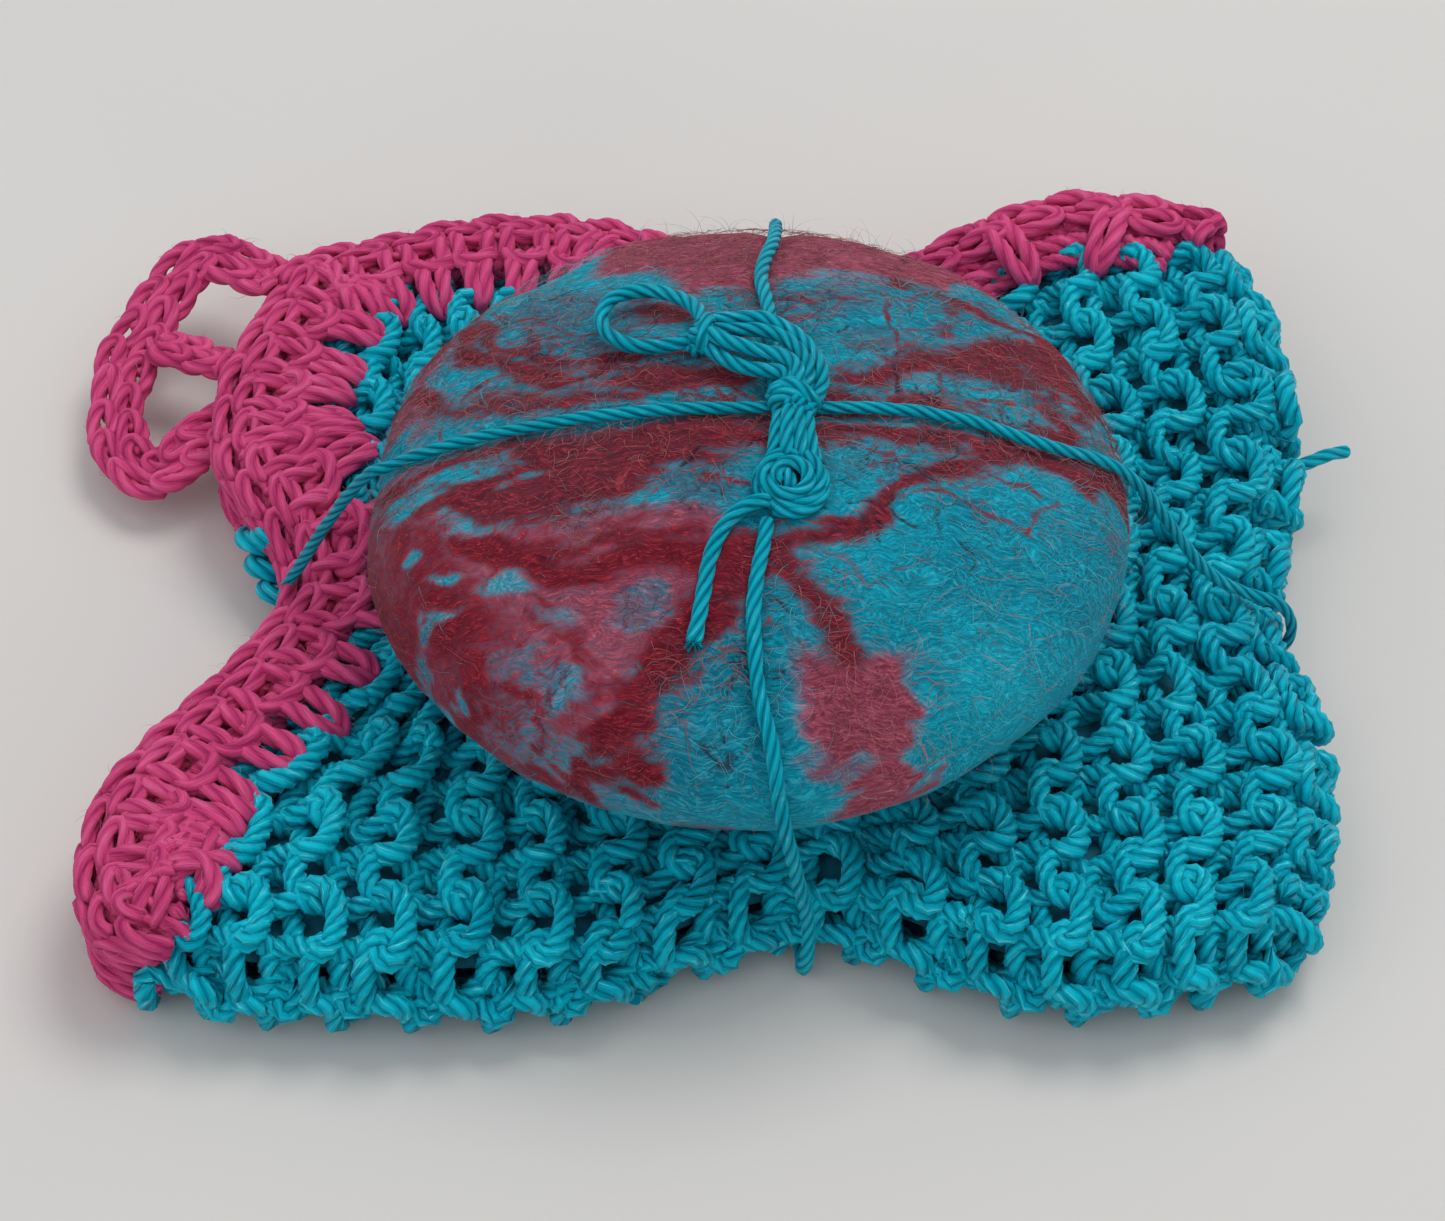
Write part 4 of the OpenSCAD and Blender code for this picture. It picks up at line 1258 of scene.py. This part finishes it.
# ---------------------------------------------------------------- crochet edging
def edge_curve():
    """Outer edge from the front left tip up the left side and along the back.

    Returns lengths, points and inward normals.
    """
    flat = [(x, FRONT) for x in np.linspace(-61, LEFT, 10)[:-1]]
    flat += [(LEFT, y) for y in np.linspace(FRONT, BACK, 62)]
    flat += [(x, BACK) for x in np.linspace(LEFT, RIGHT - 2.5, 74)[1:]]
    flat += [(RIGHT - 1.0, BACK - 1.2), (RIGHT - 0.4, BACK - 3.2)]
    points = np.stack(warp(*np.array(flat, float).T), 1)
    lengths = travelled(points)
    even = np.arange(0, lengths[-1], 1.0)
    points = at_length(even, lengths, points)
    kernel = np.exp(-0.5 * (np.arange(-12, 13) / 4.5) ** 2)
    kernel /= kernel.sum()
    padded = np.concatenate([2 * points[:1] - points[12:0:-1], points,
                             2 * points[-1:] - points[-2:-14:-1]])
    points = np.stack([np.convolve(column, kernel, "valid") for column in padded.T], 1)
    tangent = np.gradient(points, axis=0)
    tangent /= np.linalg.norm(tangent, axis=1)[:, None]
    return even, points, np.stack([tangent[:, 1], -tangent[:, 0]], 1)


EDGE_LENGTHS, EDGE_POINTS, EDGE_NORMALS = edge_curve()
EDGE_START, EDGE_END = 4.0, EDGE_LENGTHS[-1] - 3.0
CHAIN_RADIUS = 1.06
CROCHET_SIDES = 9
STITCH_PITCH = 7.6
# inward shift of the edging on each ply
PLY_SHIFTS = {4: 0.0, 3: 0.7, 2: 0.2, 1: 1.1}
# strands that close the view between the stitches: inward, rise, radius
CORE_STRANDS = ((2.4, -0.3, 1.45), (4.9, 0.2, 1.6), (7.5, 0.3, 1.6), (9.9, -0.1, 1.3))
# one chain stitch: shares of its length and of its half width
TEARDROP = ((-0.52, 0.05), (-0.25, 0.75), (0.12, 1.0), (0.45, 0.72),
            (0.60, 0.0), (0.45, -0.72), (0.12, -1.0), (-0.25, -0.75))


def on_edge(run, inward, rise, ply, shift):
    """Points at a run along the edge, an inward distance and a rise over the ply's middle."""
    base = at_length(run, EDGE_LENGTHS, EDGE_POINTS)
    normal = at_length(run, EDGE_LENGTHS, EDGE_NORMALS)
    x, y = np.moveaxis(base + normal * (np.asarray(inward, float) + shift)[..., None], -1, 0)
    z = np.maximum(SHEETS[ply][0] * height(x, y) + rise, 1.28)
    return bend_back_right(np.stack([x, y, z], -1))


def crochet_yarn(soup, points, radius, uneven, turn):
    soup.tube(points, radius * (1 + uneven * wobble(points, 3, 5)), CROCHET_SIDES,
              lobes=3, depth=0.20, pitch=13.0, turn=turn, ends=0.6)


def lay_strand(soup, keys, ply, radius, shift):
    """One strand through key points (run, inward, rise) laid on the edge."""
    keys = np.array(keys, float)
    curve = spline(keys, int(travelled(keys)[-1] / 0.55))
    points = on_edge(*curve.T, ply, shift)
    points = points + 0.16 * jitter(points, 3.1)
    crochet_yarn(soup, points, radius, 0.08, turn=rng.uniform(0, 6))


def hairpin(run, outer, inner, half, foot, top, skew=0.0):
    """Long bent leg: goes inward from outer to inner and back."""
    middle = (outer + inner) / 2
    # side (-1..1 of the half width), share of the skew, inward, rise
    rows = ((-1, 0, outer, foot), (-1.15, 0.3, middle - 0.6, top),
            (-1.05, 0.8, inner - 1.8, top - 0.25), (-0.55, 1, inner - 0.35, top - 1.3),
            (0, 1, inner + 0.1, top - 2.1), (0.55, 1, inner - 0.35, top - 1.3),
            (1.05, 0.8, inner - 1.8, top - 0.25), (1.15, 0.3, middle - 0.6, top),
            (1, 0, outer, foot))
    return [(run + side * half + share * skew, inward, rise) for side, share, inward, rise in rows]


def curl(run, skew):
    """Arch round the top of a leg."""
    # side, share of the skew, inward, rise
    rows = ((-2.3, 0, 5.9, 0.9), (-2.852, 0, 8.0, 2.1), (-2.024, 1, 9.904, 2.9),
            (0, 1, 10.756, 3.15), (2.024, 1, 9.904, 2.9), (2.852, 0, 8.0, 2.1), (2.3, 0, 5.9, 0.9))
    return [(run + side + share * skew, inward, rise) for side, share, inward, rise in rows]


def teardrop(run, inward, rise, length, half, tilt, on_side=False):
    """One chain stitch, lying flat or on the side face."""
    keys = []
    for u, v in TEARDROP:
        lift = 0.9 * (u + 0.5)
        spread = v * half + tilt * u
        if on_side:
            keys.append((run + u * length, inward - 0.45 * lift, rise + spread))
        else:
            keys.append((run + u * length, inward + spread, rise + lift))
    return keys


def edge_stitches(soups, ply):
    """Row of stitches on one ply; the back right corner has fewer, single ones."""
    shift = PLY_SHIFTS[ply]
    top = ply == 4
    draw = np.random.default_rng(40 + ply)
    run = EDGE_START + draw.uniform(0, 4)
    i = 0
    while run < EDGE_END:
        pitch = STITCH_PITCH + draw.normal(0, 0.35)
        region = int(region_of(*on_edge(run, 8.0, 0.0, 4, 0.0)[:2]))
        soup = soups.setdefault(region, Soup())
        sparse = REGIONS[region] == "back_right"
        uneven = 0.5 * draw.normal()

        def lay(keys, radius):
            lay_strand(soup, keys, ply, radius, shift)

        if top:
            if not sparse or i % 2 == 0:
                outer, inner = (0.6, 11.5) if sparse else (7.0, 17.0)
                skew = draw.normal(0, 0.9)
                lay(hairpin(run, outer, inner + uneven, 1.26, 0.9, 2.75, skew), 1.2)
            if not sparse:
                # second row of legs, half a stitch along
                skew = draw.normal(0, 0.7)
                inner = 9.8 + 0.6 * uneven
                lay(hairpin(run + pitch * 0.5, 2.0, inner, 1.3, 0.9, 2.5, skew), 1.14)
                lay(curl(run, draw.normal(0, 0.5)), 1.12)
        elif ply == 3 and not sparse:
            lay(hairpin(run, 2.0, 9.0, 1.6, 0.2, 1.2), 0.95)
        # two rows of chains on top of the rim, one on its side
        inward, rise = 1.5 + 0.3 * uneven, 0.55 if top else -0.35
        lay(teardrop(run + pitch * 0.25, inward, rise, 7.9, 1.35, draw.normal(0, 0.35)),
            CHAIN_RADIUS)
        lay(teardrop(run + pitch * 0.75, inward + 2.3, rise + (1.0 if top else 0.0), 7.6,
                     1.35 * 0.9, draw.normal(0, 0.35)), CHAIN_RADIUS * 0.95)
        lay(teardrop(run + pitch * 0.6, 0.15, -1.0 if top else -0.6, 7.9, 1.0,
                     draw.normal(0, 0.2), on_side=True), CHAIN_RADIUS)
        run += pitch * (1.22 if sparse and top else 1.0)
        i += 1


def edge_core(soups, ply):
    for inward, rise, radius in CORE_STRANDS:
        run = np.arange(EDGE_START, EDGE_END, 1.4)
        points = on_edge(run, 0 * run + inward, rise, ply, PLY_SHIFTS[ply])
        for region, _, span in runs(region_of(points[:, 0], points[:, 1])):
            if span.stop - span.start > 3:
                soups.setdefault(region, Soup()).tube(
                    points[span], radius * (1.0 if ply == 4 else 0.85), CROCHET_SIDES,
                    lobes=3, depth=0.2, pitch=9.0)


def add_fuzz(name, soup, material, slot, place, per_mm, lengths, thickness, seed):
    """Short loose hairs off the yarns of a soup; lengths is the least and the greatest."""
    draw = np.random.default_rng(seed)
    roots, normals, tangents, weights = (np.concatenate(part) for part in zip(*soup.roots))
    count = int(weights.sum() * per_mm)
    pick = draw.choice(len(roots), count, p=weights / weights.sum())
    root, normal, tangent = (part[pick][:, None] for part in (roots, normals, tangents))
    t = np.linspace(0, 1, 5)[None, :, None]
    length = draw.uniform(*lengths, count)[:, None, None]
    sway = draw.normal(0, 0.9, count)[:, None, None]
    along = (draw.choice([-1, 1], count) * draw.uniform(0.4, 1.0, count))[:, None, None]
    paths = (root + normal * (length * np.sin(t * 1.9) * 0.42)
             + tangent * (length * along) * t ** 1.2
             + np.cross(normal, tangent) * (length * sway) * t ** 1.8 * 0.55)
    paths[..., 2] = np.maximum(paths[..., 2], 0.1)
    fuzz = Soup()
    fuzz.hairs(paths, draw.uniform(thickness * 0.7, thickness * 1.2, count))
    settle(fuzz.mesh(name, material), place, slot)


mat_crochet_fuzz = fibre_material("crochet_fuzz", srgb(176, 66, 116), srgb(226, 140, 176), 0.8)
mat_yarn_fuzz = fibre_material("yarn_fuzz", srgb(10, 120, 140), srgb(96, 200, 212), 0.6)

edge_soups = {}
for ply in (4, 3, 2, 1):
    edge_stitches(edge_soups, ply)
    edge_core(edge_soups, ply)
EDGE_NODES = {0: ["edging_left", "edging_back"], 1: ["edging_corner_front_left"],
              3: ["edging_corner_back_right"], 4: ["edging_corner_back_left"]}
for region, soup in sorted(edge_soups.items()):
    name, place = REGIONS[region], on_region(region)
    obj = soup.mesh("crochet_edging_" + name, mat_crochet, uv_length=9.0)
    settle(obj, place, "crochet_cotton", *EDGE_NODES[region])
    add_fuzz("crochet_fuzz_" + name, soup, mat_crochet_fuzz, "crochet_cotton", place,
             per_mm=0.9, lengths=(0.6, 2.0), thickness=0.026, seed=60 + region)

# yarn of the lower plies that bulges out beside the pinch on the left
# centre x, y, z, radius, start and end angle
BULGES = ((-60.2, 17.6, 7.2, 2.6, 60, 300), (-59.0, 14.6, 5.6, 2.5, 70, 310),
          (-57.6, 11.6, 4.2, 2.3, 80, 300), (-58.2, 16.0, 9.6, 2.2, 70, 280))
soup = Soup()
for x, y, z, radius, start, end in BULGES:
    angle = np.radians(np.linspace(start, end, 9))
    arc = np.stack([x + radius * np.cos(angle), y + 0.8 * radius * np.sin(angle),
                    z + 0.9 * np.cos(angle * 1.5)], -1)
    soup.tube(spline(arc, 30), 1.3, KNIT_SIDES, lobes=4, depth=0.2, pitch=11.0, ends=0.6)
settle(soup.mesh("knit_bulge", mat_knit, uv_length=20.0), on_region(4), "knit_cotton")


# ---------------------------------------------------------------- hanging loop
def chain_band(soup, points, tracks, length, radius, seed):
    """Rows of chain stitches along a curve; a track is offset, half width, rise, phase."""
    draw = np.random.default_rng(seed)
    centre = spline(points, 160)
    tangent = np.gradient(centre, axis=0)
    tangent /= np.linalg.norm(tangent, axis=1)[:, None]
    side = np.cross(tangent, [0, 0, 1.0])
    side /= np.linalg.norm(side, axis=1)[:, None]
    up = np.cross(side, tangent)
    lengths = travelled(centre)
    for offset, half, rise, phase in tracks:
        start = phase * length * 0.75
        while start < lengths[-1] - length * 0.3:
            keys = teardrop(start + length * 0.5, offset + 0.2 * draw.normal(), rise, length, half,
                            0.4 * draw.normal())
            run, across, above = spline(keys, 44).T
            run = np.clip(run, 0, lengths[-1])
            path = (at_length(run, lengths, centre)
                    + at_length(run, lengths, side) * across[:, None]
                    + at_length(run, lengths, up) * above[:, None])
            path = path + np.array([0.5, 0.5, 0.3]) * jitter(path, 4.2)
            crochet_yarn(soup, path, radius, 0.14, turn=draw.uniform(0, 6))
            start += length * 0.74 * (1 + 0.06 * draw.normal())


LOOP = [(-63.5, 40.5, 8.4), (-66.5, 37.0, 8.0), (-69.6, 34.4, 7.0), (-73, 31, 5.5),
        (-78, 31.2, 4.6), (-81.2, 38, 4.6), (-81.6, 46, 5.6), (-79.6, 54, 7.4), (-75.6, 61, 9.2),
        (-71, 63.8, 10.4), (-66.5, 62.0, 11.2), (-62.5, 59.0, 11.4)]
LOOP_TRACKS = ((-1.75, 1.25, 0.0, 0.0), (1.75, 1.25, 0.2, 0.5), (0.0, 0.9, -1.0, 0.3))
# short strand across the loop
STRAND = [(-79.4, 51.5, 7.6), (-76, 49.3, 8.2), (-73.4, 48.2, 8.2), (-70.4, 47, 8.2), (-67, 46, 8.4)]
STRAND_TRACKS = ((-0.6, 1.1, 0.0, 0.0), (0.9, 0.9, 0.5, 0.5))
soup = Soup()
chain_band(soup, LOOP, LOOP_TRACKS, length=6.6, radius=1.12, seed=71)
chain_band(soup, STRAND, STRAND_TRACKS, length=6.0, radius=1.1, seed=72)
place = blending("corner_back_left", "hanging_loop",
                 (-0.0655, 0.045, 0.0136), (-0.0725, 0.045, 0.0136))
obj = soup.mesh("crochet_hanging_loop", mat_crochet, uv_length=9.0)
settle(obj, place, "crochet_cotton", "hanging_loop")
add_fuzz("hanging_loop_fuzz", soup, mat_crochet_fuzz, "crochet_cotton", place,
         per_mm=0.5, lengths=(0.7, 2.4), thickness=0.035, seed=73)

# ---------------------------------------------------------------- the tie
TIE_RADIUS = 0.88
TIE_SIDES = 14 if QUICK else 20


def on_pad(points, lift=0.72):
    return [(x, y, float(pad_top(math.hypot(x, y))) + lift) for x, y in points]


def finish_tie(name, soup, place, replaced, seed, hairs_per_mm):
    settle(soup.mesh(name[0], mat_tie, uv_length=60.0), place, "tie_cotton", replaced)
    add_fuzz(name[1], soup, mat_yarn_fuzz, "tie_cotton", place,
             per_mm=hairs_per_mm, lengths=(0.5, 1.7), thickness=0.022, seed=seed)


def tie_yarn(name, paths, place, replaced, number, radii=None, hairs_per_mm=0.22):
    """Piece of the tie; number sets its twist and the seed of its fuzz."""
    soup = Soup()
    for i, (path, radius) in enumerate(zip(paths, radii or [TIE_RADIUS] * len(paths))):
        path = np.array(path, float)
        points = spline(path, max(int(travelled(path)[-1] / 0.32), 12))
        points = points + 0.05 * jitter(points, 2.6)
        soup.tube(points, radius * (1 + 0.045 * wobble(points, 3, 5)), TIE_SIDES,
                  lobes=4, depth=0.19, pitch=9.2, turn=number + i * 1.9, ends=0.5)
    finish_tie((name, name + "_fuzz"), soup, place, replaced, 90 + number, hairs_per_mm)


# each leg runs over the pad, down past its rim, round the cloth and back underneath
left = on_pad(LEG_LEFT) + [
    (-43.7, 1.5, 36.0), (-46.9, 2.9, 30.6), (-50.0, 4.5, 24.0), (-52.8, 6.0, 17.6),
    (-54.9, 7.0, 12.8), (-56.7, 7.3, 9.0), (-57.3, 7.3, 5.0), (-56.0, 7.0, 1.7),
    (-52, 6.4, 1.2), (-30, 3.0, 1.15), (3, -1, 1.15)]
front = on_pad(LEG_FRONT) + [
    (3.0, -44.0, 33.4), (3.5, -45.1, 30.4), (4.3, -45.4, 26.0), (5.4, -45.0, 19.0),
    (6.2, -44.4, 14.0), (6.6, -44.2, 10.4), (6.6, -44.6, 6.0), (6.3, -44.0, 2.4),
    (6.0, -41.6, 1.15), (5, -25, 1.1), (3, -1, 1.1)]
tie_yarn("tie_yarn_left_to_front", [left, front], ride_bundle, "tie_left_to_front", 1,
         radii=[0.74, 0.86])
right = on_pad(LEG_RIGHT) + [
    (43.6, 1.3, 36.0), (47.6, 1.8, 30.2), (51.4, 2.3, 23.2), (55.4, 2.6, 17.2),
    (60.0, 2.9, 13.6), (64.2, 3.0, 11.4), (66.2, 3.0, 8.0), (66.3, 3.0, 4.6),
    (64.6, 3.0, 1.7), (60, 2.9, 1.15), (30, 2.2, 1.1), (5.6, 1.6, 1.1)]
back = on_pad(LEG_BACK) + [
    (3.5, 43.6, 36.0), (3.5, 48.0, 30.6), (3.5, 53.0, 24.0), (3.4, 58.4, 17.6),
    (3.4, 62.4, 13.0), (3.4, 64.4, 9.0), (3.4, 64.6, 5.0), (3.5, 62.6, 1.6),
    (3.6, 58, 1.15), (4.6, 30, 1.1), (5.6, 1.6, 1.1)]
tie_yarn("tie_yarn_right_to_back", [right, back], ride_bundle, "tie_right_to_back", 2,
         radii=[0.74, 0.84])


def arc(centre, axis, radius, start, end, drift=0.0, squash=1.0):
    """Points of an arc round an axis, in degrees, drifting along the axis."""
    axis = np.array(axis, float)
    axis /= np.linalg.norm(axis)
    side = np.cross(axis, [0, 0, 1.0] if abs(axis[2]) < 0.9 else [1.0, 0, 0])
    side /= np.linalg.norm(side)
    other = np.cross(axis, side)
    t = np.linspace(math.radians(start), math.radians(end), 40)[:, None]
    return (np.array(centre) + radius * (np.cos(t) * side + squash * np.sin(t) * other)
            + axis * drift * (t - t[0]) / (t[-1] - t[0]))


tie_yarn("tie_knot", [
    arc((4.7, -1.3, 49.5), (0.10, 1, 0), 1.95, -40, 345, drift=1.0, squash=0.85),
    arc((4.7, 0.6, 49.6), (-0.15, 1, 0), 2.0, 100, 470, drift=0.7, squash=0.85),
    [(2.2, 0.4, 49.0), (3.4, 0.9, 50.9), (5.2, 0.1, 51.6), (6.9, -0.8, 50.6), (7.6, -0.3, 49.0)],
], ride_bundle, "knot", 3)

# four strands from the collar of the bow to the knot, then the collar
tie_yarn("tie_bow_bundle", [
    [(-6.0, 11.9, 49.0), (-4.7, 12.1, 50.0), (-1.9, 12.3, 50.3), (1.3, 12.0, 50.6),
     (4.5, 10.1, 50.6), (6.9, 7.1, 50.5), (8.0, 4.2, 50.3), (8.1, 1.6, 50.1), (7.0, -0.9, 50.0),
     (6.0, -2.4, 49.6)],
    [(-6.2, 10.6, 48.7), (-5.0, 10.7, 49.8), (-1.9, 10.6, 50.1), (1.3, 10.0, 50.7),
     (3.8, 8.7, 50.9), (6.0, 5.6, 51.0), (6.6, 2.6, 50.9), (6.0, -0.2, 50.8), (5.4, -2.2, 50.0)],
    [(-6.6, 9.3, 48.6), (-5.4, 8.7, 49.5), (-2.8, 6.3, 49.7), (-0.5, 4.9, 49.7),
     (2.2, 4.1, 50.1), (4.2, 3.0, 50.6), (4.6, 0.5, 50.9), (4.4, -1.8, 50.2)],
    [(-6.8, 10.0, 49.8), (-4.6, 9.2, 50.9), (-2.4, 7.8, 51.0), (0.6, 6.6, 51.0),
     (3.4, 5.5, 51.2), (5.2, 3.6, 51.4), (5.4, 1.0, 51.4), (5.0, -1.6, 50.6)],
    arc((-5.9, 10.6, 49.5), (1, -0.35, 0.05), 1.9, 0, 380, drift=1.5, squash=0.9),
], ride_bundle, "bow_bundle", 4)

# four strands from the knot forward to the coil
tie_yarn("tie_neck", [
    [(3.4, -1.8, 49.3), (3.2, -3.4, 49.7), (2.9, -5.4, 49.6), (2.7, -7.4, 49.2), (2.2, -9.0, 48.9)],
    [(4.3, -1.8, 50.2), (4.2, -3.6, 50.5), (4.1, -5.6, 50.4), (4.0, -7.6, 49.9), (3.9, -8.6, 49.4)],
    [(5.3, -1.8, 50.2), (5.3, -3.6, 50.4), (5.4, -5.6, 50.3), (5.6, -7.6, 49.8), (5.8, -8.8, 49.3)],
    [(6.2, -1.8, 49.4), (6.4, -3.4, 49.5), (6.5, -5.4, 49.4), (6.9, -7.4, 49.0), (7.4, -9.2, 48.7)],
], ride_bundle, "neck", 5)

BOW = [(-5.6, 10.8, 49.4), (-5.3, 12.6, 49.3), (-5.6, 14.6, 48.6), (-6.7, 17.2, 47.8),
       (-9.2, 19.6, 47.1), (-12.0, 20.6, 46.7), (-14.8, 20.2, 46.5), (-16.6, 18.4, 46.5),
       (-17.1, 15.7, 46.6), (-16.1, 13.1, 46.9), (-13.8, 11.1, 47.3), (-11.1, 10.3, 47.8),
       (-8.6, 9.9, 48.4), (-6.8, 10.0, 49.0), (-5.4, 10.3, 49.4)]
# the bow lies to the left and back of its hinge
BOW_HINGE = np.array([-6.65, 12.85, 49.35])
tie_yarn("tie_bow_loop", [BOW], blending(
    "bundle", "bow_loop", tuple((BOW_HINGE + [0.8, -0.6, 0]) * MM),
    tuple((BOW_HINGE + [-1.8, 1.35, 0]) * MM)), "bow_loop", 6)

# the coil: a spiral that climbs inward, a lower ring and a short strand in the middle
COIL_TURNS = 2.35
angle = np.linspace(math.radians(100), math.radians(100 + 360 * COIL_TURNS), 90)
stations, share = [0, 0.42, 0.8, 1], np.arange(90) / 89
radius = np.interp(share, stations, [3.45, 3.3, 1.75, 1.4])
level = np.interp(share, stations, [47.95, 49.0, 49.5, 49.3])
spiral = np.stack([4.4 + radius * np.cos(angle), -11.4 + radius * np.sin(angle),
                   level + 0.13 * (radius * np.sin(angle))], -1)
tie_yarn("tie_coil", [
    spiral,
    arc((4.4, -11.6, 48.05), (0, -0.12, 1), 3.65, 150, 395),
    [(3.7, -9.9, 48.6), (4.1, -11.2, 49.0), (4.5, -12.9, 48.6)],
], blending("bundle", "coil", (0.0044, -0.0062, 0.0485), (0.0044, -0.0092, 0.0485)), "coil", 7)


def build_tail():
    """Free end of the tie with a frayed cut."""
    path = [(2.2, -14.2, 48.5), (0.7, -14.6, 48.5), (-0.9, -15.3, 48.2), (-3.0, -17.4, 47.35)]
    path += on_pad([(-4.4, -20.6), (-5.0, -24.0), (-5.7, -28.0), (-6.2, -30.4)], 1.12)
    points = spline(path, 70)
    soup = Soup()
    soup.tube(points, TIE_RADIUS * np.interp(np.arange(70), [0, 62, 69], [1, 1, 1.16]), TIE_SIDES,
              lobes=4, depth=0.24, pitch=9.6, turn=0.4, ends=0.15)
    draw = np.random.default_rng(12)
    for _ in range(16):
        a = draw.uniform(0, 2 * np.pi)
        root = points[-1] + 0.62 * np.array([math.cos(a) * 0.9, -0.1, math.sin(a) * 0.6])
        tip = root + np.array([math.cos(a) * 0.3, -draw.uniform(0.15, 0.5), math.sin(a) * 0.15])
        strand = [points[-3] * 0.6 + root * 0.4, root, tip, tip + [math.cos(a) * 0.1, -0.1, 0.04]]
        # plain round section without twist
        soup.tube(strand, 0.15, 5, lobes=1, depth=0, pitch=math.inf, ends=0)
    place = blending("coil", "tie_tail", (0.0004, -0.0135, 0.049), (-0.0013, -0.0152, 0.049))
    finish_tie(("tie_tail_yarn", "tie_tail_fuzz"), soup, place, "tie_tail", 99, 0.3)


build_tail()

# loose end that sticks out of the right side, near the back right corner
END = bend_back_right(np.array([(64.5, 25.2, 7.6), (67.5, 26.4, 7.4), (70.4, 27.4, 7.0),
                                (73, 28.6, 6.6), (75.6, 29.2, 6.1)], float))
tie_yarn("loose_yarn_end", [END], blending(
    "corner_back_right", "yarn_end", (0.0690, 0.0278, 0.0112), (0.0718, 0.0278, 0.0112)),
    "yarn_end", 8, hairs_per_mm=0.5)

# hairs of the top ply
for region, soup in enumerate(top_knit):
    add_fuzz("knit_fuzz_" + REGIONS[region], soup, mat_yarn_fuzz, "knit_cotton",
             on_region(region), per_mm=0.045, lengths=(0.6, 2.2), thickness=0.022,
             seed=110 + region)

# ---------------------------------------------------------------- table, lights, camera
TABLE_HALF, TABLE_Z = 4, -0.0003     # metres


def build_table():
    shader = Shader("table")
    mottle = shader.noise(shader.place(), scale=5.0, detail=3)
    colour = shader.ramp(mottle, [(0.3, srgb(212, 209, 205)), (0.7, srgb(219, 215, 211))])
    material = shader.finish(Base_Color=colour, Roughness=0.85, Specular_IOR_Level=0.2)
    mesh = bpy.data.meshes.new("table")
    corners = [(x * TABLE_HALF, y * TABLE_HALF, TABLE_Z)
               for x, y in ((-1, -1), (1, -1), (1, 1), (-1, 1))]
    mesh.from_pydata(corners, [], [(0, 1, 2, 3)])
    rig.stage(add_object("table", mesh, material))


def area_light(name, location, size, power, color):
    """Round light aimed at the middle of the cushion."""
    light = bpy.data.lights.new(name, "AREA")
    light.shape = "DISK"
    light.size = size
    light.energy = power
    light.color = color
    obj = bpy.data.objects.new(name, light)
    bpy.context.scene.collection.objects.link(obj)
    obj.location = location
    aim = Vector((0, 0, 0.02)) - Vector(location)
    obj.rotation_euler = aim.to_track_quat("-Z", "Y").to_euler()


build_table()
area_light("key", location=(0.45, 0.5, 1.25), size=0.75, power=7.5, color=(1.0, 0.99, 0.97))
area_light("fill", location=(-0.8, -0.6, 0.9), size=1.1, power=2.0, color=(0.95, 0.98, 1.0))

world = bpy.data.worlds.new("room")
bpy.context.scene.world = world
world.use_nodes = True
background = world.node_tree.nodes["Background"]
background.inputs["Color"].default_value = (0.93, 0.96, 1.0, 1)
background.inputs["Strength"].default_value = 0.62

CAMERA_PITCH = 49   # degrees below the horizon
lens = bpy.data.cameras.new("camera")
lens.lens = 84.77
lens.sensor_width = 36.0
lens.clip_start = 0.01
camera = bpy.data.objects.new("camera", lens)
bpy.context.scene.collection.objects.link(camera)
camera.location = (-0.003063, -0.268056, 0.321884)
camera.rotation_euler = (math.radians(90 - CAMERA_PITCH), 0, 0)
bpy.context.scene.camera = camera

VISUAL_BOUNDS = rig.bounds()
json.dump({"cad": [[float(a) for a in c] for c in CAD_BOUNDS],
           "visual": [[float(a) for a in c] for c in VISUAL_BOUNDS]},
          open("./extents.json", "w"))
